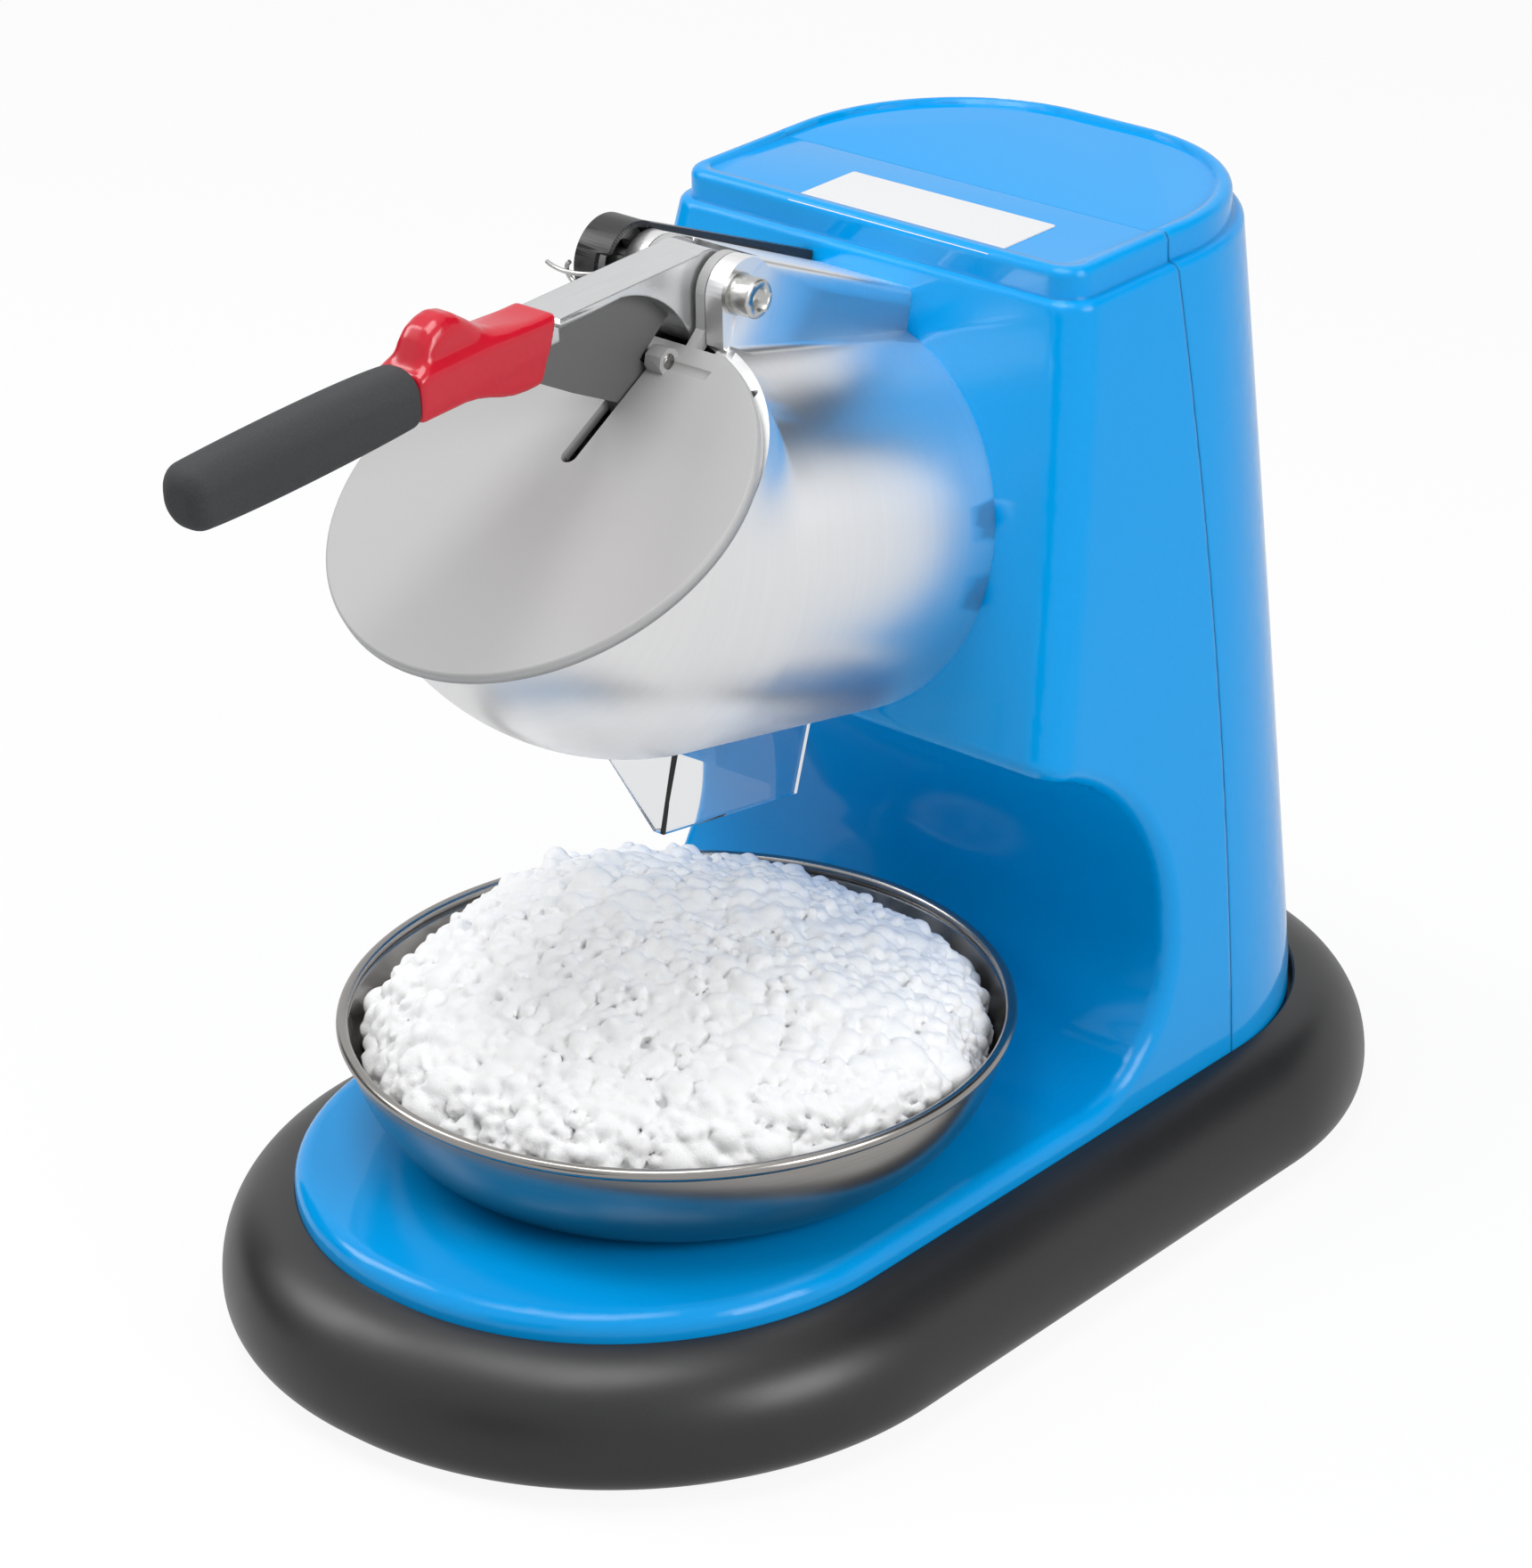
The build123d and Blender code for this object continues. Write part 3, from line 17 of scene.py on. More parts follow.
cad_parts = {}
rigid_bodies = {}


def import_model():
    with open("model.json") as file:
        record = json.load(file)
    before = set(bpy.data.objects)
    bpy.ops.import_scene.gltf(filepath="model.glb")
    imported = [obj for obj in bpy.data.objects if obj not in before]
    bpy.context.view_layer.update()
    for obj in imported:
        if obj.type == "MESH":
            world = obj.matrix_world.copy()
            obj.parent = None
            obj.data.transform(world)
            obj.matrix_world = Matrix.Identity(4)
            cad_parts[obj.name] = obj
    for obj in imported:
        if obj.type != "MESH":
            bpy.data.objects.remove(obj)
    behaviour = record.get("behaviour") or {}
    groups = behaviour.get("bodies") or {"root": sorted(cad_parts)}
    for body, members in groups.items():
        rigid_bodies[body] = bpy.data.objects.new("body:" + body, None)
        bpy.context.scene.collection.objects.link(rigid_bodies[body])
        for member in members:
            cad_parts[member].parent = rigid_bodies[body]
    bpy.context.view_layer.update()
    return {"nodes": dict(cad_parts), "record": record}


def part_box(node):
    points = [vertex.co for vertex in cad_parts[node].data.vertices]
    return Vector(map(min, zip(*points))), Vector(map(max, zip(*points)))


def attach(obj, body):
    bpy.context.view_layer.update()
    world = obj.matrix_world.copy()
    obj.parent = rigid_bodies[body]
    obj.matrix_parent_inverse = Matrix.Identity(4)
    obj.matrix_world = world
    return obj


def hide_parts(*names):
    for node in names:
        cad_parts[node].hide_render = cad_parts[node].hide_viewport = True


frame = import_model()
cad = frame["nodes"]
mm = 0.001

# %% [markdown]
# ## The camera
#
# A product picture is taken with a long lens, so that the far end of the machine is hardly smaller
# than the near end. The camera could be placed by hand, but an aim point, two angles, a distance
# and a small roll say the same in five numbers that are easy to change.

# %% Place the camera
def camera_matrix(azimuth, elevation, roll, distance, aim):
    """Camera pose from where it stands round the machine, in degrees and millimetres."""
    a, e, r = (math.radians(v) for v in (azimuth, elevation, roll))
    back = Vector((math.sin(a) * math.cos(e), -math.cos(a) * math.cos(e), math.sin(e)))
    right = (-back).cross(Vector((0, 0, 1))).normalized()
    up = right.cross(-back)
    x_axis = math.cos(r) * right + math.sin(r) * up
    y_axis = -math.sin(r) * right + math.cos(r) * up
    pose = Matrix((x_axis, y_axis, back)).transposed().to_4x4()
    pose.translation = (Vector(aim) + back * distance) * mm
    return pose


camera = bpy.data.objects.new("product_camera", bpy.data.cameras.new("product_camera"))
bpy.context.scene.collection.objects.link(camera)
camera.data.lens = 119.43
camera.data.sensor_width = 36
camera.data.clip_start = 0.05
camera.matrix_world = camera_matrix(azimuth=41.45, elevation=25.95, roll=-1.15, distance=1355.2,
                                    aim=(-1.79, 5.36, 123.52))
bpy.context.scene.camera = camera
bpy.context.scene.view_settings.view_transform = "Standard"
print("camera at", [round(v, 3) for v in camera.location])

# %% [markdown]
# ## The studio
#
# A white studio is a pale floor, a white surround and a few large soft lamps. The camera should see
# pure white, but white light from all sides would flatten every shape. The Light Path node solves
# this: camera and glass rays see a white surround and mirror rays a slightly dimmer one, while the
# light that falls on the machine comes mostly from the lamps. Dark cards outside the picture give
# the steel something dark to mirror, as photographers do.

# %% White surround
def link(tree, a, b):
    """Join two sockets of a node tree."""
    tree.links.new(a, b)


def mirror_or_camera(tree):
    """Light Path: 1 for rays from the camera, a mirror or glass."""
    path = tree.nodes.new("ShaderNodeLightPath")
    first = tree.nodes.new("ShaderNodeMath")
    first.operation = "MAXIMUM"
    link(tree, path.outputs["Is Camera Ray"], first.inputs[0])
    link(tree, path.outputs["Is Glossy Ray"], first.inputs[1])
    both = tree.nodes.new("ShaderNodeMath")
    both.operation = "MAXIMUM"
    link(tree, first.outputs[0], both.inputs[0])
    link(tree, path.outputs["Is Transmission Ray"], both.inputs[1])
    return path, both.outputs[0]


def dim_for_mirrors(tree, path, share, socket):
    """Set a strength of 1, or a smaller share of it for mirror rays."""
    dim = tree.nodes.new("ShaderNodeMath")
    dim.operation = "MULTIPLY_ADD"
    dim.inputs[1].default_value = share - 1
    dim.inputs[2].default_value = 1.0
    link(tree, path.outputs["Is Glossy Ray"], dim.inputs[0])
    link(tree, dim.outputs[0], socket)


mirror_share = 0.78
world = bpy.data.worlds.new("white_studio")
bpy.context.scene.world = world
world.use_nodes = True
tree = world.node_tree
tree.nodes.clear()
seen = tree.nodes.new("ShaderNodeBackground")
seen.inputs["Color"].default_value = (1, 1, 1, 1)
felt = tree.nodes.new("ShaderNodeBackground")
felt.inputs["Color"].default_value = (0.98, 0.99, 1.0, 1)
felt.inputs["Strength"].default_value = 0.33
mix = tree.nodes.new("ShaderNodeMixShader")
path, mask = mirror_or_camera(tree)
dim_for_mirrors(tree, path, mirror_share, seen.inputs["Strength"])
link(tree, mask, mix.inputs[0])
link(tree, felt.outputs[0], mix.inputs[1])
link(tree, seen.outputs[0], mix.inputs[2])
out = tree.nodes.new("ShaderNodeOutputWorld")
link(tree, mix.outputs[0], out.inputs[0])
print("mirrors see", mirror_share, "of the white surround")

# %% Floor that is white but keeps the shadow
def stage_sheet(name, corners, material):
    """A flat sheet of the studio, which isn't part of the machine."""
    mesh = bpy.data.meshes.new(name)
    mesh.from_pydata(corners, [], [tuple(range(len(corners)))])
    sheet = bpy.data.objects.new(name, mesh)
    bpy.context.scene.collection.objects.link(sheet)
    mesh.materials.append(material)
    return sheet


floor_paint = bpy.data.materials.new("white_floor")
floor_paint.use_nodes = True
tree = floor_paint.node_tree
tree.nodes.clear()
chalk = tree.nodes.new("ShaderNodeBsdfDiffuse")
chalk.inputs["Color"].default_value = (0.86, 0.86, 0.86, 1)
glow = tree.nodes.new("ShaderNodeEmission")
lift = tree.nodes.new("ShaderNodeMath")
lift.operation = "MULTIPLY"
lift.inputs[1].default_value = 0.91
path, mask = mirror_or_camera(tree)
dim_for_mirrors(tree, path, mirror_share, glow.inputs["Strength"])
link(tree, mask, lift.inputs[0])
mix = tree.nodes.new("ShaderNodeMixShader")
link(tree, lift.outputs[0], mix.inputs[0])
link(tree, chalk.outputs[0], mix.inputs[1])
link(tree, glow.outputs[0], mix.inputs[2])
out = tree.nodes.new("ShaderNodeOutputMaterial")
link(tree, mix.outputs[0], out.inputs[0])
floor_reach = 4
corners = [(x * floor_reach, y * floor_reach, 0) for x, y in ((-1, -1), (1, -1), (1, 1), (-1, 1))]
floor = stage_sheet("floor", corners, floor_paint)
print("floor:", floor.name, "reaches", floor_reach, "m each way")

# %% Lamps and dark cards
def soft_lamp(name, place, aim, size, power):
    """A rectangular softbox that looks at a point, in metres and watts."""
    data = bpy.data.lights.new(name, "AREA")
    data.shape = "RECTANGLE"
    data.size, data.size_y = size
    data.energy = power
    lamp = bpy.data.objects.new(name, data)
    bpy.context.scene.collection.objects.link(lamp)
    lamp.location = place
    lamp.rotation_euler = (Vector(aim) - Vector(place)).to_track_quat("-Z", "Y").to_euler()
    return lamp


key = soft_lamp("key_softbox", (1.50, 0.02, 0.90), (0, 0, 0.14), (0.8, 0.7), 13.5)
fill = soft_lamp("left_strip", (-1.25, -0.55, 1.10), (0, 0, 0.10), (0.45, 1.0), 9)
top = soft_lamp("top_softbox", (-0.10, -0.28, 1.45), (0, 0, 0.1), (0.9, 0.7), 12)
print("lamps:", [lamp.name for lamp in (key, fill, top)])

black_card = bpy.data.materials.new("black_card")
black_card.use_nodes = True
card_shader = black_card.node_tree.nodes["Principled BSDF"]
card_shader.inputs["Base Color"].default_value = (0.01, 0.01, 0.01, 1)
card_shader.inputs["Roughness"].default_value = 0.9


def upright_card(name, bearing, distance, width, low, high):
    """A dark card for mirrors alone, facing the machine: bearing 0 is the front, 90 the right."""
    turn = math.radians(bearing)
    foot = Vector((math.sin(turn), -math.cos(turn), 0)) * distance
    along = Vector((math.cos(turn), math.sin(turn), 0)) * width / 2
    up = Vector((0, 0, 1))
    corners = [foot + side * along + height * up
               for side, height in ((-1, low), (1, low), (1, high), (-1, high))]
    card = stage_sheet(name, [tuple(c) for c in corners], black_card)
    card.visible_camera = False
    card.visible_shadow = False
    card.visible_diffuse = False
    card.visible_transmission = False
    return card


cards = [upright_card("card_high_rear", 146, 1.2, 1.5, 0.62, 2.1),
         upright_card("card_left", -75, 1.4, 1.0, 0.0, 0.8),
         upright_card("card_front", 8, 1.5, 0.6, 0.0, 0.5)]
print("cards:", len(cards))

# %% [markdown]
# ## Finishes
#
# Each finish is a Principled shader. What several finishes share, such as brushing, moulding grain
# and handling marks, is a node group with named inputs, built once. The groups only give masks
# and normals; every plain number stays on the shader itself.

# %% Shared effects as node groups
def effect_group(name, inputs, outputs):
    """An empty shader group with named sockets."""
    group = bpy.data.node_groups.new(name, "ShaderNodeTree")
    for label, kind, value in inputs:
        socket = group.interface.new_socket(label, in_out="INPUT", socket_type=kind)
        if value is not None:
            socket.default_value = value
    for label, kind in outputs:
        group.interface.new_socket(label, in_out="OUTPUT", socket_type=kind)
    return group, group.nodes.new("NodeGroupInput"), group.nodes.new("NodeGroupOutput")


FLOAT, VECTOR = "NodeSocketFloat", "NodeSocketVector"


def noise_node(tree, vector, scale, detail, rough=0.55):
    """Noise texture with its scale as a number or a socket."""
    noise = tree.nodes.new("ShaderNodeTexNoise")
    noise.inputs["Detail"].default_value = detail
    noise.inputs["Roughness"].default_value = rough
    link(tree, vector, noise.inputs["Vector"])
    if isinstance(scale, (int, float)):
        noise.inputs["Scale"].default_value = scale
    else:
        link(tree, scale, noise.inputs["Scale"])
    return noise.outputs[0]


def bump_node(tree, height, strength, distance):
    """Bump whose strength is a socket."""
    bump = tree.nodes.new("ShaderNodeBump")
    bump.inputs["Distance"].default_value = distance
    link(tree, strength, bump.inputs["Strength"])
    link(tree, height, bump.inputs["Height"])
    return bump.outputs["Normal"]


brushing, g_in, g_out = effect_group(
    "brushing", [("Vector", VECTOR, None), ("Stretch", VECTOR, (1, 1, 1)), ("Depth", FLOAT, 0.2)],
    [("Lines", FLOAT), ("Normal", VECTOR)])
scaled = brushing.nodes.new("ShaderNodeVectorMath")
scaled.operation = "MULTIPLY"
link(brushing, g_in.outputs["Vector"], scaled.inputs[0])
link(brushing, g_in.outputs["Stretch"], scaled.inputs[1])
fine = noise_node(brushing, scaled.outputs[0], 1.0, 3.0, 0.7)
link(brushing, fine, g_out.inputs["Lines"])
link(brushing, bump_node(brushing, fine, g_in.outputs["Depth"], 0.00006), g_out.inputs["Normal"])

grain, g_in, g_out = effect_group(
    "moulding_grain", [("Vector", VECTOR, None), ("Scale", FLOAT, 2500.0), ("Depth", FLOAT, 0.1)],
    [("Grain", FLOAT), ("Normal", VECTOR)])
pebble = noise_node(grain, g_in.outputs["Vector"], g_in.outputs["Scale"], 2.0)
link(grain, pebble, g_out.inputs["Grain"])
link(grain, bump_node(grain, pebble, g_in.outputs["Depth"], 0.0002), g_out.inputs["Normal"])

marks, g_in, g_out = effect_group(
    "handling_marks",
    [("Vector", VECTOR, None), ("Scale", FLOAT, 18.0), ("Low", FLOAT, 0.1), ("High", FLOAT, 0.2)],
    [("Roughness", FLOAT)])
cloud = noise_node(marks, g_in.outputs["Vector"], g_in.outputs["Scale"], 4.0)
span = marks.nodes.new("ShaderNodeMapRange")
span.inputs["From Min"].default_value = 0.3
span.inputs["From Max"].default_value = 0.7
link(marks, cloud, span.inputs["Value"])
link(marks, g_in.outputs["Low"], span.inputs["To Min"])
link(marks, g_in.outputs["High"], span.inputs["To Max"])
link(marks, span.outputs[0], g_out.inputs["Roughness"])
print("effect groups:", brushing.name, grain.name, marks.name)

# %% Building a finish
def finish(name, colour, roughness, metallic=0.0, coat=0.0, ior=1.5):
    """A material whose roughness wanders between two values over the surface."""
    material = bpy.data.materials.new(name)
    material.use_nodes = True
    tree = material.node_tree
    shader = tree.nodes["Principled BSDF"]
    shader.inputs["Base Color"].default_value = (*colour, 1)
    shader.inputs["Metallic"].default_value = metallic
    shader.inputs["IOR"].default_value = ior
    shader.inputs["Coat Weight"].default_value = coat
    shader.inputs["Coat Roughness"].default_value = 0.04
    place = tree.nodes.new("ShaderNodeTexCoord")
    worn = add_group(tree, marks, place.outputs["Object"], Low=roughness[0], High=roughness[1])
    link(tree, worn.outputs["Roughness"], shader.inputs["Roughness"])
    return material, tree, shader, place.outputs["Object"]


def add_group(tree, group, vector, **values):
    """Place an effect group in a material with its own values."""
    node = tree.nodes.new("ShaderNodeGroup")
    node.node_tree = group
    link(tree, vector, node.inputs["Vector"])
    for label, value in values.items():
        node.inputs[label].default_value = value
    return node


def tint(tree, shader, mask, dark, light):
    """Let a mask move the base colour between two near tones."""
    mix = tree.nodes.new("ShaderNodeMix")
    mix.data_type = "RGBA"
    mix.inputs["A"].default_value = (*dark, 1)
    mix.inputs["B"].default_value = (*light, 1)
    link(tree, mask, mix.inputs["Factor"])
    link(tree, mix.outputs["Result"], shader.inputs["Base Color"])


def moulded(name, dark, light, roughness, scale, depth, coat=0.0):
    """Moulded plastic or rubber with a fine grain."""
    material, tree, shader, place = finish(name, light, roughness, coat=coat)
    skin = add_group(tree, grain, place, Scale=scale, Depth=depth)
    link(tree, skin.outputs["Normal"], shader.inputs["Normal"])
    tint(tree, shader, skin.outputs["Grain"], dark, light)
    return material


def brushed(name, dark, light, roughness, stretch, depth):
    """Metal with fine lines across its stretch direction."""
    material, tree, shader, place = finish(name, light, roughness, metallic=1.0)
    lines = add_group(tree, brushing, place, Stretch=stretch, Depth=depth)
    link(tree, lines.outputs["Normal"], shader.inputs["Normal"])
    tint(tree, shader, lines.outputs["Lines"], dark, light)
    return material


def grey(level):
    """A neutral colour."""
    return level, level, level


def soften_edges(material, radius):
    """Round the shading across each sharp edge by a radius in metres, in place of the fine bump."""
    tree = material.node_tree
    bevel = tree.nodes.new("ShaderNodeBevel")
    bevel.samples = 4
    bevel.inputs["Radius"].default_value = radius
    link(tree, bevel.outputs["Normal"], tree.nodes["Principled BSDF"].inputs["Normal"])


# %% [markdown]
# ## The finishes of the machine
#
# The body is glossy blue plastic, the base and the switch parts are black, the lid is matt grey and
# the lever is cast aluminium with a dipped red rest and a foam grip. A moulded edge is never a
# knife edge. Bevelling every edge of the mesh would be slow and could tear thin walls, so a Bevel
# node rounds only the shading of the blue body and of the arm.

# %% The machine's own finishes
blue_gloss = moulded("blue_gloss_plastic", (0.0, 0.300, 0.735), (0.0, 0.320, 0.765),
                     (0.06, 0.11), 900, 0.012)
blue_gloss.node_tree.nodes["Principled BSDF"].inputs["Specular IOR Level"].default_value = 0.28
black_satin = moulded("black_satin_plastic", (0.011, 0.011, 0.012), (0.019, 0.019, 0.020),
                      (0.30, 0.40), 2600, 0.10)
grey_matt = moulded("grey_matt_plastic", grey(0.385), grey(0.41), (0.42, 0.52), 2600, 0.05)
red_gloss = moulded("red_dipped_plastic", (0.50, 0.004, 0.018), (0.56, 0.006, 0.024),
                    (0.20, 0.28), 500, 0.02, coat=0.08)
grip_foam = moulded("grip_foam_rubber", (0.022, 0.024, 0.027), (0.040, 0.043, 0.047),
                    (0.72, 0.85), 1500, 0.55)
black_rubber = moulded("black_rubber", grey(0.010), grey(0.018), (0.6, 0.75), 1500, 0.3)
steel_plate = brushed("plate_brushed_steel", (0.50, 0.51, 0.52), grey(0.62),
                      (0.24, 0.34), (60, 60, 2600), 0.35)
# The polished steel's dark, warm base colour is a painted reflection of dim bronze surroundings, and it
# also mutes the blue body mirrored in the bowl.
steel_painted_reflection = brushed("steel_with_painted_reflection", (0.32, 0.305, 0.29), (0.40, 0.385, 0.37),
                       (0.20, 0.28), (40, 40, 900), 0.04)
zinc = brushed("zinc_steel", (0.50, 0.50, 0.49), (0.64, 0.64, 0.62), (0.24, 0.36), (600, 600, 600), 0.15)
cast_grey = moulded("web_grey_paint", grey(0.115), grey(0.135), (0.38, 0.48), 2200, 0.1)
aluminium = brushed("arm_brushed_aluminium", (0.72, 0.73, 0.74), (0.84, 0.84, 0.85),
                    (0.20, 0.30), (1800, 60, 60), 0.3)
galvanised = brushed("galvanised_sheet", (0.42, 0.43, 0.44), (0.56, 0.57, 0.58),
                     (0.35, 0.5), (90, 90, 90), 0.1)
motor_paint = moulded("motor_paint", (0.05, 0.05, 0.055), (0.07, 0.07, 0.075), (0.4, 0.5), 1500, 0.1)
soften_edges(blue_gloss, 0.0016)
soften_edges(aluminium, 0.0007)
print("finishes:", len(bpy.data.materials))

# %% [markdown]
# ## The drum's brushed steel
#
# The drum was brushed while it turned, so its lines run round it and its highlights are drawn out
# along it. A picture of scratches would show a seam. Anisotropic roughness gives the long
# highlights from one number and a direction, and a noise that is squeezed along the drum's axis
# gives the faint rings.

# %% Brushed sheet that is turned round an axis
streaks_per_metre, clouds_per_metre = 900.0, 26.0


def turned_steel(name, axis, dark, light, roughness, anisotropy):
    """Steel brushed round an axis: streaks run round it and highlights stretch along it."""
    material, tree, shader, place = finish(name, light, roughness, metallic=1.0)
    along = tree.nodes.new("ShaderNodeVectorMath")
    along.operation = "DOT_PRODUCT"
    along.inputs[1].default_value = axis
    link(tree, place, along.inputs[0])
    rows = tree.nodes.new("ShaderNodeCombineXYZ")
    stretch = tree.nodes.new("ShaderNodeMath")
    stretch.operation = "MULTIPLY"
    stretch.inputs[1].default_value = streaks_per_metre
    link(tree, along.outputs["Value"], stretch.inputs[0])
    link(tree, stretch.outputs[0], rows.inputs["X"])
    patch = tree.nodes.new("ShaderNodeVectorMath")
    patch.operation = "SCALE"
    patch.inputs["Scale"].default_value = clouds_per_metre
    link(tree, place, patch.inputs[0])
    mixed = tree.nodes.new("ShaderNodeVectorMath")
    mixed.operation = "ADD"
    link(tree, rows.outputs[0], mixed.inputs[0])
    link(tree, patch.outputs[0], mixed.inputs[1])
    streaks = noise_node(tree, mixed.outputs[0], 1.0, 4.0, 0.6)
    tint(tree, shader, streaks, dark, light)
    direction = tree.nodes.new("ShaderNodeCombineXYZ")
    for socket, value in zip(direction.inputs, axis):
        socket.default_value = value
    link(tree, direction.outputs[0], shader.inputs["Tangent"])
    shader.inputs["Anisotropic"].default_value = anisotropy
    return material


drum_tilt = math.radians(12.35)
drum_axis = (0.0, -math.cos(drum_tilt), math.sin(drum_tilt))
steel_drum = turned_steel("drum_brushed_steel", drum_axis, (0.88, 0.88, 0.885), (0.95, 0.95, 0.955),
                          (0.30, 0.36), 0.45)
print("drum axis:", [round(v, 3) for v in drum_axis])

# %% [markdown]
# ## Clear plastic, and which finish goes where
#
# The chute is clear acrylic, so its shader lets all light through and bends it a little. Shaved
# ice is not clear: light enters each crumb, scatters and leaves close by, which a small subsurface
# radius gives without tracing thousands of tiny lenses. Every node of the CAD names a slot, and
# one table says which finish each slot gets.

# %% Clear plastic and shaved ice
clear, tree, shader, place = finish("clear_acrylic", (0.97, 0.985, 1.0), (0.01, 0.03), ior=1.49)
shader.inputs["Transmission Weight"].default_value = 1.0

snow, tree, shader, place = finish("shaved_ice", (0.95, 0.95, 0.95), (0.40, 0.60), ior=1.31)
flakes = add_group(tree, grain, place, Scale=1700.0, Depth=0.8)
link(tree, flakes.outputs["Normal"], shader.inputs["Normal"])
tint(tree, shader, flakes.outputs["Grain"], (0.93, 0.935, 0.94), (0.975, 0.975, 0.975))
shader.inputs["Subsurface Weight"].default_value = 0.25
shader.inputs["Subsurface Radius"].default_value = (1.0, 1.1, 1.25)
shader.inputs["Subsurface Scale"].default_value = 0.0012

SLOT_FINISH = {
    "blue_plastic": blue_gloss, "black_plastic": black_satin, "grey_plastic": grey_matt,
    "brushed_steel": steel_plate, "polished_steel": steel_painted_reflection, "zinc_steel": zinc,
    "cast_aluminium": aluminium, "red_dip": red_gloss, "grip_rubber": grip_foam,
    "black_rubber": black_rubber, "clear_plastic": clear, "shaved_ice": snow,
    "motor_paint": motor_paint, "galvanised": galvanised,
}
slot_of = {entry["node"]: entry["material_slot"] for entry in frame["record"]["subparts"]}
bodies = frame["record"]["behaviour"]["bodies"]
body_of = {node: body for body, members in bodies.items() for node in members}
print("slots:", len(set(slot_of.values())), "nodes on a body:", len(body_of))

# %% [markdown]
# ## Smooth CAD pieces
#
# The CAD pieces arrive as loose triangles, so a round edge shows its facets. A copy whose points
# are merged can be shaded smooth, with creases kept where two faces meet at a real edge, and with
# normals weighted by face area, so that flat faces stay flat next to a small rounding.

# %% Copy, merge and smooth
def bake(piece):
    """Turn a piece and its modifiers into one plain mesh."""
    ready = piece.evaluated_get(bpy.context.evaluated_depsgraph_get())
    mesh = bpy.data.meshes.new_from_object(ready)
    piece.modifiers.clear()
    piece.data = mesh
    return piece


def smooth_by_angle(mesh, degrees):
    """Smooth shading with creases at edges sharper than this."""
    mesh.shade_smooth()
    mesh.set_sharp_from_angle(angle=math.radians(degrees))


def even_shading(piece):
    """Weight the normals by face area."""
    weigh = piece.modifiers.new("even_shading", "WEIGHTED_NORMAL")
    weigh.keep_sharp = True
    weigh.weight = 100
    return bake(piece)


crease_angle, weld_reach = 32, 2e-6


def smooth_copy(node, name, material):
    """A merged and smoothly shaded stand-in for one CAD node."""
    mesh = cad[node].data.copy()
    form = bmesh.new()
    form.from_mesh(mesh)
    bmesh.ops.remove_doubles(form, verts=form.verts, dist=weld_reach)
    form.to_mesh(mesh)
    form.free()
    mesh.materials.clear()
    mesh.materials.append(material)
    smooth_by_angle(mesh, crease_angle)
    piece = bpy.data.objects.new(name, mesh)
    bpy.context.scene.collection.objects.link(piece)
    even_shading(piece)
    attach(piece, body_of[node])
    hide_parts(node)
    return piece


# %% [markdown]
# ## Making meshes from rings of points
#
# Many pieces are a row of rings: a bowl is one ring turned round an axis, a grip is a ring that
# slides along a bar. One helper joins such rings with quads, and one puts the result on its body.

# %% Ring helpers
def ring_faces(rows, columns):
    """Quads between neighbouring closed rings of points."""
    faces = []
    for i in range(rows - 1):
        here, there = i * columns, (i + 1) * columns
        for j in range(columns):
            k = (j + 1) % columns
            faces.append((here + j, here + k, there + k, there + j))
    return faces


def end_caps(rows, columns):
    """The first and the last ring as two faces."""
    last = (rows - 1) * columns
    return [tuple(range(columns)), tuple(range(last, last + columns))]


def place_piece(name, points, faces, material, body, nodes=(), crease=crease_angle, weld=True):
    """A closed piece in place: points in millimetres, faces turned outwards, riding its body."""
    mesh = bpy.data.meshes.new(name)
    mesh.from_pydata((np.asarray(points, float) * mm).tolist(), [], faces)
    form = bmesh.new()
    form.from_mesh(mesh)
    if weld:
        bmesh.ops.remove_doubles(form, verts=form.verts, dist=weld_reach)
    bmesh.ops.recalc_face_normals(form, faces=form.faces)
    form.to_mesh(mesh)
    form.free()
    mesh.materials.append(material)
    smooth_by_angle(mesh, crease)
    piece = bpy.data.objects.new(name, mesh)
    bpy.context.scene.collection.objects.link(piece)
    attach(piece, body)
    if nodes:
        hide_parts(*nodes)
    return piece


def tell(piece):
    """Print a finished piece's name, its number of faces and its size in millimetres."""
    spots = np.empty(3 * len(piece.data.vertices))
    piece.data.vertices.foreach_get("co", spots)
    spots = spots.reshape(-1, 3) / mm
    print(piece.name, "faces:", len(piece.data.polygons), "size:", np.ptp(spots, axis=0).round(1))


def bezier(p0, p1, p2, p3, steps):
    """Points of a cubic curve, without its last point."""
    t = np.linspace(0, 1, steps, endpoint=False)[:, None]
    p0, p1, p2, p3 = (np.array(p, float) for p in (p0, p1, p2, p3))
    return (1 - t) ** 3 * p0 + 3 * t * (1 - t) ** 2 * p1 + 3 * t * t * (1 - t) * p2 + t ** 3 * p3


def arc(centre, radius, start, end, steps):
    """Points of an arc in degrees, both ends included."""
    t = np.radians(np.linspace(start, end, steps))
    return np.c_[centre[0] + radius * np.cos(t), centre[1] + radius * np.sin(t)]


# %% [markdown]
# ## The black skirt
#
# The skirt is one bulging section that follows the oval plan of the base. Moving rings by hand would
# work, but "a profile along a path" is exactly what Curve to Mesh does in Geometry Nodes, and the
# same tree can make other trims. The tree ends in Realize Instances and Set Material. On a path that
# runs anticlockwise, the profile's X points outwards and its Y points down, so heights are negated.

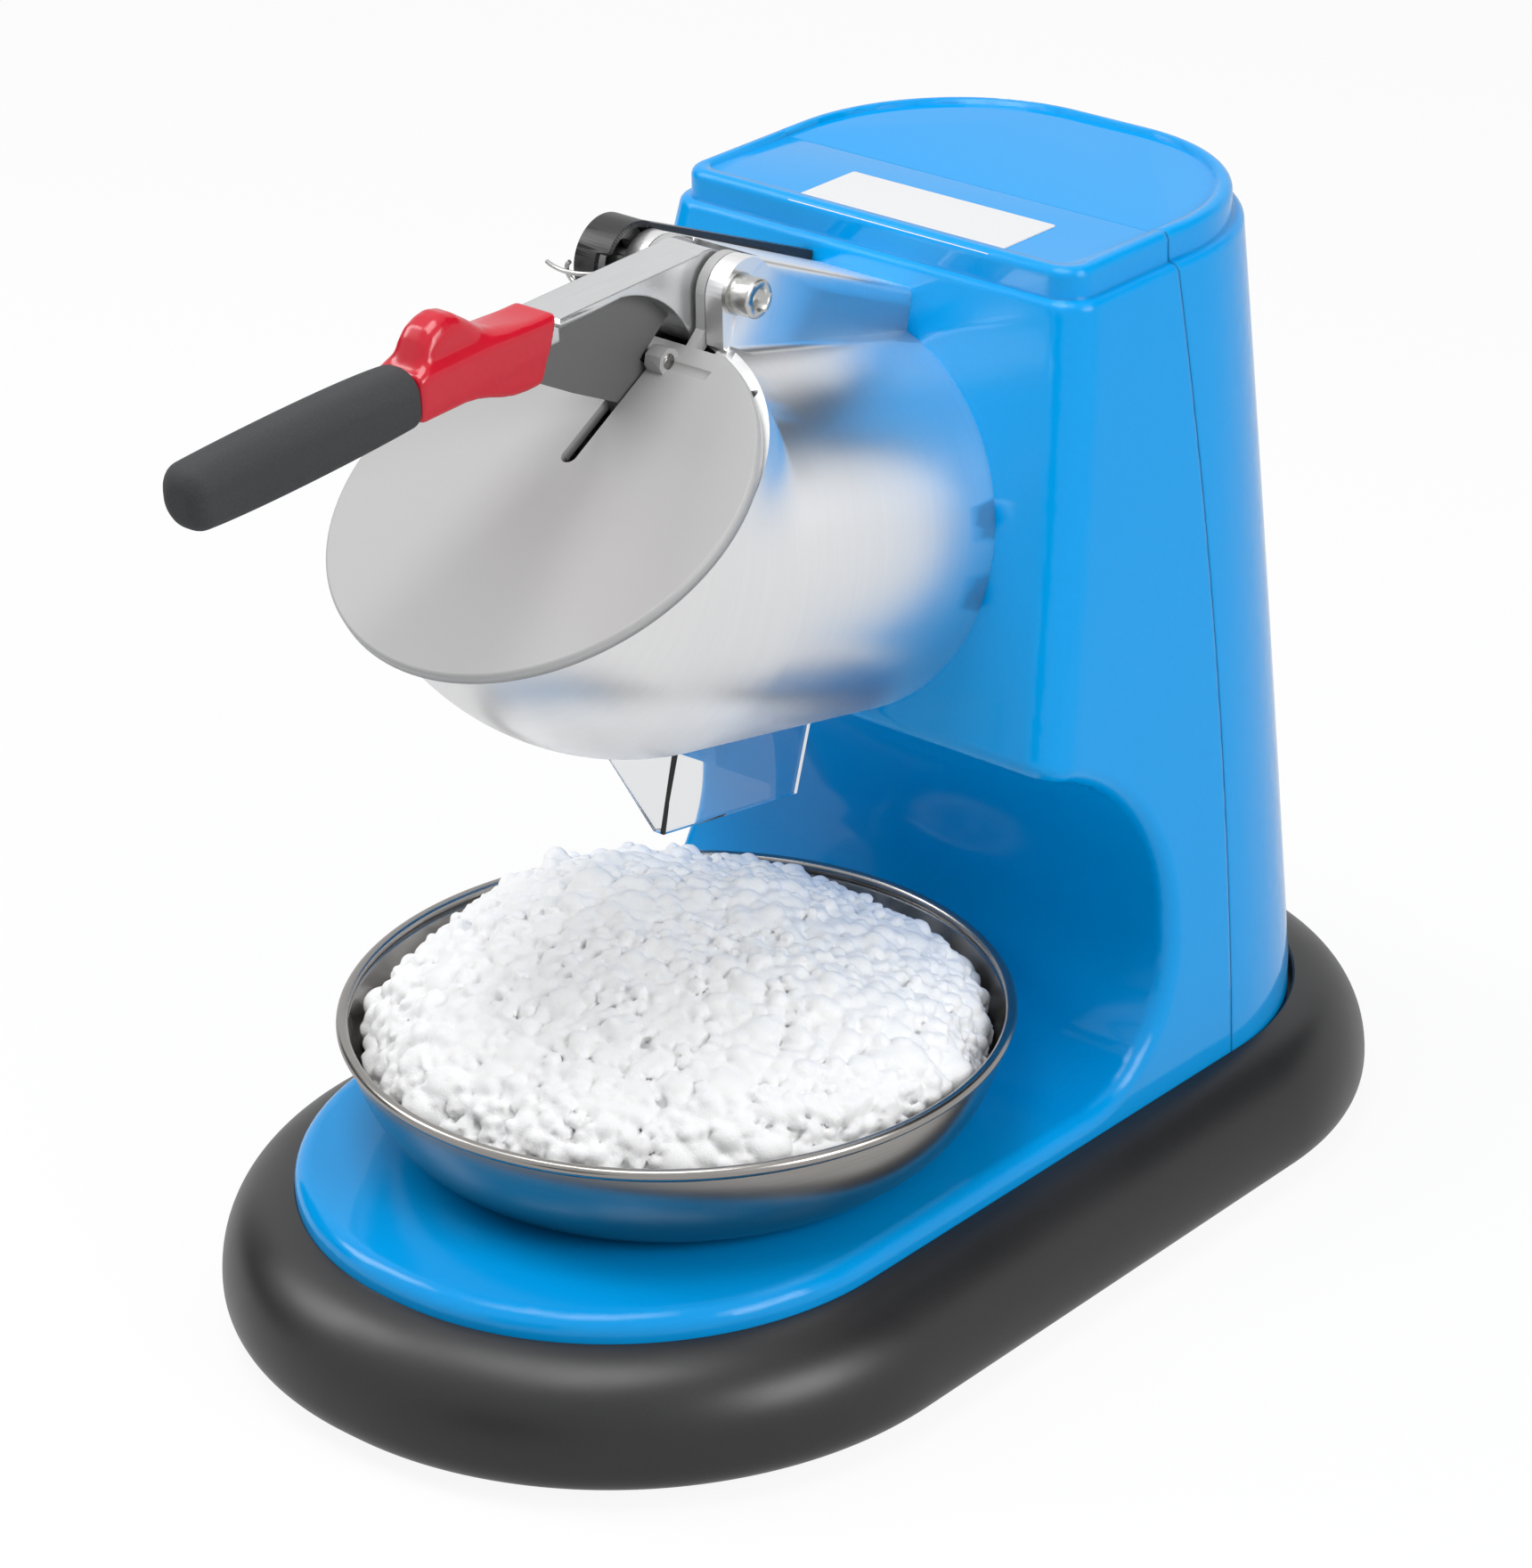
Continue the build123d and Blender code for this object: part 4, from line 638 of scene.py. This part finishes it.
# %% A node tree that sweeps a profile along a path
def geometry_tree(name, inputs):
    """An empty Geometry Nodes tree, and the identifiers of its named inputs."""
    tree = bpy.data.node_groups.new(name, "GeometryNodeTree")
    tree.interface.new_socket("Geometry", in_out="INPUT", socket_type="NodeSocketGeometry")
    keys = {}
    for label, kind in inputs:
        socket = tree.interface.new_socket(label, in_out="INPUT", socket_type=kind)
        keys[label] = socket.identifier
    tree.interface.new_socket("Geometry", in_out="OUTPUT", socket_type="NodeSocketGeometry")
    return tree, keys, tree.nodes.new("NodeGroupInput"), tree.nodes.new("NodeGroupOutput")


def run_tree(name, tree, keys, values):
    """Evaluate a tree on a new object and keep the result as a plain mesh."""
    carrier = bpy.data.objects.new(name, bpy.data.meshes.new(name))
    bpy.context.scene.collection.objects.link(carrier)
    modifier = carrier.modifiers.new(name, "NODES")
    modifier.node_group = tree
    for label, value in values.items():
        modifier[keys[label]] = value
    return bake(carrier)


sweep, sweep_keys, s_in, s_out = geometry_tree("profile_along_path", [
    ("Path", "NodeSocketObject"), ("Profile", "NodeSocketObject"), ("Finish", "NodeSocketMaterial")])
rail = sweep.nodes.new("GeometryNodeObjectInfo")
shape = sweep.nodes.new("GeometryNodeObjectInfo")
link(sweep, s_in.outputs["Path"], rail.inputs["Object"])
link(sweep, s_in.outputs["Profile"], shape.inputs["Object"])
skin = sweep.nodes.new("GeometryNodeCurveToMesh")
link(sweep, rail.outputs["Geometry"], skin.inputs["Curve"])
link(sweep, shape.outputs["Geometry"], skin.inputs["Profile Curve"])
real = sweep.nodes.new("GeometryNodeRealizeInstances")
link(sweep, skin.outputs["Mesh"], real.inputs["Geometry"])
paint = sweep.nodes.new("GeometryNodeSetMaterial")
link(sweep, real.outputs["Geometry"], paint.inputs["Geometry"])
link(sweep, s_in.outputs["Finish"], paint.inputs["Material"])
link(sweep, paint.outputs["Geometry"], s_out.inputs["Geometry"])


def poly_curve(name, points):
    """A closed curve through points, in millimetres."""
    data = bpy.data.curves.new(name, "CURVE")
    data.dimensions = "3D"
    line = data.splines.new("POLY")
    line.points.add(len(points) - 1)
    for spot, point in zip(line.points, points):
        spot.co = (*(np.array(point, float) * mm), 1)
    line.use_cyclic_u = True
    curve = bpy.data.objects.new(name, data)
    bpy.context.scene.collection.objects.link(curve)
    return curve


# %% Sweep the skirt
base_half, base_front, base_rear = 105.0, -160.0, 193.0
front_r, rear_r = 103.0, 93.0


def base_outline(steps=56):
    """Plan of the skirt's widest line, anticlockwise from the right side."""
    rear = arc((base_half - rear_r, base_rear - rear_r), rear_r, 0, 90, steps)
    rear_left = arc((rear_r - base_half, base_rear - rear_r), rear_r, 90, 180, steps)
    front_left = arc((front_r - base_half, base_front + front_r), front_r, 180, 270, steps)
    front = arc((base_half - front_r, base_front + front_r), front_r, 270, 360, steps)
    side = np.linspace(0, 1, 24, endpoint=False)[1:, None]
    left_side = rear_left[-1] + side * (front_left[0] - rear_left[-1])
    right_side = front[-1] + side * (rear[0] - front[-1])
    ring = np.concatenate([rear, rear_left, left_side, front_left, front, right_side])
    return np.c_[ring, np.zeros(len(ring))]


outside = [bezier((-20, 36), (-8, 34), (0, 25.2), (0, 12), 22),
           bezier((0, 12), (0, 6.6), (-3, 3), (-9, 3), 14)]
foot_edge = [(-9, 3), (-16, 3), (-16, 5.6)]
inside = [bezier((-9, 5.6), (-4.5, 5.6), (-2.6, 9.3), (-2.6, 12), 8),
          bezier((-2.6, 12), (-2.6, 24), (-8, 31.6), (-17.5, 32.6), 14)]
tray_ledge = [(-17.5, 32.6), (-17.5, 26.4), (-26, 26.4), (-26, 29), (-20.6, 29), (-20.6, 35.6)]
skirt_section = np.concatenate([*outside, foot_edge, *inside, tray_ledge])
flat = np.zeros(len(skirt_section))
section = poly_curve("skirt_section", np.c_[skirt_section[:, 0], -skirt_section[:, 1], flat])
outline = poly_curve("skirt_outline", base_outline())
swept = run_tree("skirt_draft", sweep, sweep_keys,
                 {"Path": outline, "Profile": section, "Finish": black_satin})
swept_points = np.array([v.co for v in swept.data.vertices]) / mm
swept_faces = [tuple(p.vertices) for p in swept.data.polygons]
for spare in (section, outline, swept):
    bpy.data.objects.remove(spare)
skirt = place_piece("skirt", swept_points, swept_faces, black_satin, "housing",
                    ("base_skirt",))
tell(skirt)

# %% [markdown]
# ## The steel bowl
#
# A bowl is turned: one half section, spun round its axis. The wall is a closed loop of points, so
# the inside and the rolled rim come with it, and the pole points at the axis are welded.

# %% Spin the bowl
def spin(section, centre, count):
    """Rings of a half section (radius, height) round an upright axis."""
    angles = np.linspace(0, 2 * math.pi, count, endpoint=False)
    rings = [np.c_[r * np.cos(angles) + centre[0], r * np.sin(angles) + centre[1], np.full(count, z)]
             for r, z in section]
    return np.concatenate(rings)


bowl_centre = (0.0, -33.3)
bowl_foot_r, bowl_foot_z = 61.0, 43.3
bowl_rim_r, bowl_rim_z, bead_r, wall = 86.8, 74.6, 1.58, 1.0
floor_z, under_bead_z = bowl_foot_z + wall, bowl_rim_z - 0.2
outer = bezier((bowl_foot_r, bowl_foot_z), (74.5, bowl_foot_z), (84.0, 56.5),
               (bowl_rim_r, under_bead_z), 26)
rolled = arc((bowl_rim_r, bowl_rim_z), bead_r, -75, 255, 22)
inner = bezier((bowl_rim_r - wall, under_bead_z), (83.0, 57.5), (74.5, floor_z),
               (bowl_foot_r, floor_z), 26)
underside = [(r, bowl_foot_z) for r in (0, 30, 54)]
bottom = [(r, floor_z) for r in (bowl_foot_r, 54, 30, 0)]
bowl_section = np.concatenate([underside, outer, rolled, inner[1:], bottom])
count = 192
bowl = place_piece("steel_bowl", spin(bowl_section, bowl_centre, count),
                   ring_faces(len(bowl_section), count), steel_painted_reflection, "bowl",
                   ("bowl",))
tell(bowl)

# %% [markdown]
# ## Shaved ice
#
# Shaved ice is not a smooth mound: it is thousands of crumbs that cling to each other, with deep
# gaps between them. Displacing a mound only gives bumps without gaps. Here a field of numbers says
# how deep each point of a fine grid lies inside the nearest crumb, crumbs of many sizes are blended
# into it, and a surface net wraps the zero level of that field in quads.

# %% Surface net
def surface_net(field, low, step):
    """Points and quads round the part of a sampled field that is above zero."""
    inside = field > 0
    nx, ny, nz = (n - 1 for n in field.shape)
    total = sum(inside[i:nx + i, j:ny + j, k:nz + k].astype(np.int8)
                for i in (0, 1) for j in (0, 1) for k in (0, 1))
    mixed = (total > 0) & (total < 8)
    ids = np.full(mixed.shape, -1)
    cells = np.argwhere(mixed)
    ids[mixed] = np.arange(len(cells))
    points, hits = np.zeros((len(cells), 3)), np.zeros(len(cells))
    corners = [np.array(c) for c in np.ndindex(2, 2, 2)]
    for a in corners:
        for b in corners:
            if (b - a).min() < 0 or (b - a).sum() != 1:
                continue
            va, vb = field[tuple((cells + a).T)], field[tuple((cells + b).T)]
            cut = (va > 0) != (vb > 0)
            t = np.where(cut, va / np.where(cut, va - vb, 1), 0)[:, None]
            points[cut] += (a + t * (b - a))[cut]
            hits[cut] += 1
    points = low + (cells + points / hits[:, None]) * step
    quads = []
    for axis in range(3):
        u, v = (axis + 1) % 3, (axis + 2) % 3
        span = [slice(1, n - 1) for n in field.shape]
        ahead = list(span)
        span[axis], ahead[axis] = slice(0, -1), slice(1, None)
        here, there = inside[tuple(span)], inside[tuple(ahead)]
        start = np.argwhere(here != there)
        start[:, u] += 1
        start[:, v] += 1
        du, dv = np.eye(3, dtype=int)[u], np.eye(3, dtype=int)[v]
        around = [ids[tuple(spot.T)] for spot in (start - du - dv, start - dv, start, start - du)]
        quads.append(np.stack(around, 1))
    return points, [tuple(q) for q in np.concatenate(quads).tolist()]


# %% Heap the ice
ice_random = np.random.default_rng(11)
step = 0.86
low = np.array([-85.0, -118.0, 60.0])
grid_shape = (198, 198, 58)
gx, gy, gz = (low[i] + step * np.arange(n) for i, n in enumerate(grid_shape))


def heap_height(x, y):
    """Height of the ice before its crumbs: a broad cone with a soft foot and a fuller left side."""
    dx, dy = x - bowl_centre[0], y - bowl_centre[1]
    r = np.hypot(dx, dy)
    ring = np.array([0, 14, 30, 46, 58, 66, 72, 76, 79, 84])
    level = np.array([98.0, 97.2, 94.3, 89.4, 84.6, 80.4, 76.6, 72.4, 67.0, 58.0])
    turn = np.arctan2(dy, dx)
    ripple = 1.6 * np.sin(3 * turn + 0.7) + 1.1 * np.sin(5 * turn + 2.1) + 0.8 * np.sin(9 * turn)
    shoulder = 6.5 * np.exp(-((dx + 50) ** 2 + (dy - 6) ** 2) / (2 * 17 ** 2))
    swell = 1.2 * np.sin(x / 9 + 1) * np.cos(y / 11)
    return np.interp(r - ripple * r / 60, ring, level) + shoulder + swell


plan_x, plan_y = np.meshgrid(gx, gy, indexing="ij")
mound = heap_height(plan_x, plan_y)
core_depth, crumb_blend = 1.6, 0.2
field = np.clip(mound[:, :, None] - core_depth - gz[None, None, :], -6, 6)


def add_crumb(field, centre, radius, squash):
    """Blend one rounded crumb into the field."""
    reach = radius + 2.0
    first = np.maximum(np.floor((centre - reach - low) / step).astype(int), 0)
    last = np.minimum(np.ceil((centre + reach - low) / step).astype(int) + 1, grid_shape)
    if (last <= first).any():
        return
    block = tuple(slice(a, b) for a, b in zip(first, last))
    x, y, z = (g[s] for g, s in zip((gx, gy, gz), block))
    far = np.sqrt(((x - centre[0]) ** 2)[:, None, None] + ((y - centre[1]) ** 2)[None, :, None]
                  + (((z - centre[2]) * squash) ** 2)[None, None, :])
    crumb, old = radius - far, field[block]
    blend = np.maximum(crumb_blend - np.abs(crumb - old), 0) / crumb_blend
    field[block] = np.maximum(crumb, old) + blend * blend * crumb_blend * 0.25


# Each layer of crumbs: how many, the smallest and the largest radius, and how deep they sit in
# the heap as a share of their radius.
crumb_layers = ((170, 4.5, 7.5, 0.50), (1500, 2.3, 3.8, 0.0), (8500, 1.2, 2.1, -0.50))
heap_r, heap_foot_z = 80.5, 61.3
for amount, small, large, sink in crumb_layers:
    far = heap_r * np.sqrt(ice_random.random(amount))
    turn = 2 * math.pi * ice_random.random(amount)
    cx, cy = bowl_centre[0] + far * np.cos(turn), bowl_centre[1] + far * np.sin(turn)
    size = small + (large - small) * ice_random.random(amount) ** 1.6
    cz = heap_height(cx, cy) - sink * size + 1.1 * ice_random.standard_normal(amount)
    squash = 0.9 + 0.4 * ice_random.random(amount)
    for centre, radius, flatness in zip(np.c_[cx, cy, cz], size, squash):
        add_crumb(field, centre, radius, flatness)
# The bowl's inner wall, as radii at a few heights, keeps the ice inside it.
wall_z, wall_r = [60, 64, 68, 72, 76, 80, 110], [80.0, 81.6, 82.8, 83.6, 84.6, 85.5, 90.0]
inner_wall = np.interp(gz, wall_z, wall_r)
from_centre = np.hypot(plan_x - bowl_centre[0], plan_y - bowl_centre[1])
room = inner_wall[None, None, :] - from_centre[:, :, None]
field = np.minimum(np.minimum(field, room), (gz - heap_foot_z)[None, None, :])
field[:, :, 0] = -1.0
ice_points, ice_faces = surface_net(field, low, step)
ice = place_piece("shaved_ice_heap", ice_points, ice_faces, snow, "bowl",
                  ("shaved_ice",), crease=180, weld=False)
tell(ice)

# %% [markdown]
# ## The red thumb rest and the dark grip
#
# The red sleeve is dipped plastic: it has no sharp edge anywhere, and its thumb hump flows into the
# bar. The same kind of field makes it, with a blend of the bar and the hump. The grip is a foam
# tube over the bar's end, so it is a row of rounded rings that close at the tip.

# %% Soft blends
def soft_max(a, b, reach):
    """The larger of two fields, with a rounded joint."""
    near = np.maximum(reach - np.abs(a - b), 0) / reach
    return np.maximum(a, b) + near * near * reach * 0.25


def soft_min(a, b, reach):
    """The smaller of two fields, with a rounded edge."""
    return -soft_max(-a, -b, reach)


def sample_grid(low, high, step):
    """Coordinates of a box of points."""
    low = np.array(low, float)
    count = np.ceil((np.array(high) - low) / step).astype(int) + 1
    return low, np.meshgrid(*(low[i] + step * np.arange(count[i]) for i in range(3)), indexing="ij")


# %% Dip the thumb rest
handle_foot, handle_z, handle_lean = -122.0, 272.2, math.radians(2.7)


def lean_handle(points):
    """Turn points of a level bar, as x, y and height above its middle, onto the leaning handle."""
    along, up = points[:, 1] - handle_foot, points[:, 2]
    y = handle_foot + along * math.cos(handle_lean) - up * math.sin(handle_lean)
    z = handle_z + along * math.sin(handle_lean) + up * math.cos(handle_lean)
    return np.c_[points[:, 0], y, z]


dip_step, handle_half_w, hump_half_w, bar_top = 0.60, 7.3, 5.7, 6.1
sleeve_rear = -75
low, (x, y, h) = sample_grid((-9, -125, -13), (9, -72, 20), dip_step)
under_y = [-130, -107, -103, -99, -95, -91, -87, -60]
under_h = [-5.7, -5.8, -6.3, -7.4, -8.8, -9.8, -10.2, -10.2]
under = np.interp(y, under_y, under_h)
bar = soft_min(soft_min(bar_top - h, handle_half_w - np.abs(x), 2.6), (h - under) * 0.96, 2.0)
hump_y = [-124, -121, -118.5, -116.5, -114.5, -111.5, -108.6, -105.5, -101, -97, -93, -88, -82, -70]
hump_h = [-2.0, 3.6, 9.0, 12.5, 14.7, 16.1, 16.6, 15.8, 12.6, 9.4, 7.4, 5.6, 3.0, -2.0]
hump = soft_min((np.interp(y, hump_y, hump_h) - h) * 0.72, hump_half_w - np.abs(x), 4.4)
hump = np.minimum(hump, h + 1)
body = soft_max(bar, hump, 3.4)
# The factors below 1, here and above, turn a height or a length into the distance to a slope.
slant = ((sleeve_rear - y) + (h - bar_top) * (7 / 16.3)) * 0.92
body = soft_min(soft_min(body, y - handle_foot, 1.2), slant, 1.0)
sleeve_points, sleeve_faces = surface_net(body, low, dip_step)
sleeve_points = lean_handle(sleeve_points)
sleeve = place_piece("thumb_rest", sleeve_points, sleeve_faces, red_gloss, "lever",
                     ("thumb_sleeve",), crease=180, weld=False)
tell(sleeve)


# %% Roll the grip
def rounded_ring(half_w, low_h, high_h, radius, steps=14):
    """Rounded rectangle between two heights as a ring of (x, height) points."""
    mid, half_h = (low_h + high_h) / 2, (high_h - low_h) / 2
    radius = min(radius, half_w - 0.01, half_h - 0.01)
    quarter = [arc((sx * (half_w - radius), mid + sz * (half_h - radius)), radius, a, a + 90, steps)
               for sx, sz, a in ((1, 1, 0), (-1, 1, 90), (-1, -1, 180), (1, -1, 270))]
    return np.concatenate(quarter)


tip, start, end_h = -192.72, -122.02, 7.7
tip_round, grip_corner = 4.6, 6.2


def grip_edge(tip_pull, start_pull):
    """The grip's upper or lower edge as (y, height), swollen between its ends."""
    height = math.copysign(end_h, tip_pull)
    curve = bezier((tip, height), (tip + 14, tip_pull), (start - 14, start_pull), (start, height), 60)
    return np.concatenate([curve, [(start, height)]])


top_edge, low_edge = grip_edge(8.7, 9.7), grip_edge(-9.7, -8.7)
# Each row is how far the ring is drawn in and where it lies along the handle.
grip_rows = [(7.0, tip), (5.8, tip)]
grip_rows += [(tip_round - tip_round * math.sin(a), tip + tip_round - tip_round * math.cos(a))
              for a in np.linspace(0, math.pi / 2, 10)]
grip_rows += [(0.0, y) for y in np.linspace(tip + 5.6, start - 0.8, 48)]
grip_rows += [(0.05, start - 0.4), (0.4, start), (5.5, start), (7.0, start)]
grip_points = []
for inset, y in grip_rows:
    high_h = np.interp(y, top_edge[:, 0], top_edge[:, 1])
    low_h = np.interp(y, low_edge[:, 0], low_edge[:, 1])
    half_w = max(handle_half_w - inset, 0.02)
    ring = rounded_ring(half_w, low_h + inset, high_h - inset, grip_corner - 0.5 * inset)
    grip_points.append(np.c_[ring[:, 0], np.full(len(ring), y), ring[:, 1]])
ring_count = len(grip_points[0])
grip_faces = ring_faces(len(grip_rows), ring_count) + end_caps(len(grip_rows), ring_count)
grip_points = lean_handle(np.concatenate(grip_points))
grip = place_piece("foam_grip", grip_points, grip_faces, grip_foam, "lever", ("grip",))
tell(grip)

# %% [markdown]
# ## All the other pieces
#
# The rest keeps the exact shape of its CAD node. Only its points are merged and its shading is
# smoothed, and the drum and the lever's web get a finish of their own in place of their slot's.

# %% Smooth every other CAD piece
remade = {"base_skirt", "bowl", "shaved_ice", "thumb_sleeve", "grip"}
made = {}
node_finish = {"hopper_drum": steel_drum, "lever_web": cast_grey}
for node in sorted(set(cad) - remade):
    material = node_finish.get(node, SLOT_FINISH[slot_of[node]])
    made[node] = smooth_copy(node, "smooth_" + node, material)
print("smoothed:", len(made), "faces:", sum(len(p.data.polygons) for p in made.values()))

# %% [markdown]
# ## The bare plate on the roof
#
# A thin white plate lies on the roof panel. It stays blank. It is a rounded outline with a real
# thickness, so that it catches a fine light along its edge.

# %% Lay the plate
plate_paint = moulded("white_plate", (0.64, 0.65, 0.66), (0.70, 0.70, 0.71), (0.30, 0.40), 1200, 0.05)
plate_bevel = 0.12


def rounded_slab(x_span, y_span, low, high, radius, steps=8):
    """Rings of a thin slab with rounded corners and a small bevel round its top."""
    (x0, x1), (y0, y1) = x_span, y_span
    rings = []
    for inset, height in ((0.0, low), (0.0, high - plate_bevel), (plate_bevel, high)):
        r = radius - inset
        centres = ((x1 - radius, y1 - radius), (x0 + radius, y1 - radius),
                   (x0 + radius, y0 + radius), (x1 - radius, y0 + radius))
        quarters = [arc(centre, r, 90 * k, 90 * k + 90, steps) for k, centre in enumerate(centres)]
        ring = np.concatenate(quarters)
        rings.append(np.c_[ring, np.full(len(ring), height)])
    return rings


roof_top, panel_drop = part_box("front_shell")[1][2] / mm, 1.2
panel_z = roof_top - panel_drop
plate_sink, plate_t, plate_corner = 0.1, 0.3, 0.8
plate_rings = rounded_slab((-28.5, 38.5), (48.0, 75.0), panel_z - plate_sink, panel_z + plate_t,
                           plate_corner)
ring_count = len(plate_rings[0])
plate_faces = ring_faces(3, ring_count) + end_caps(3, ring_count)
plate = place_piece("blank_plate", np.concatenate(plate_rings), plate_faces, plate_paint, "housing")
tell(plate)
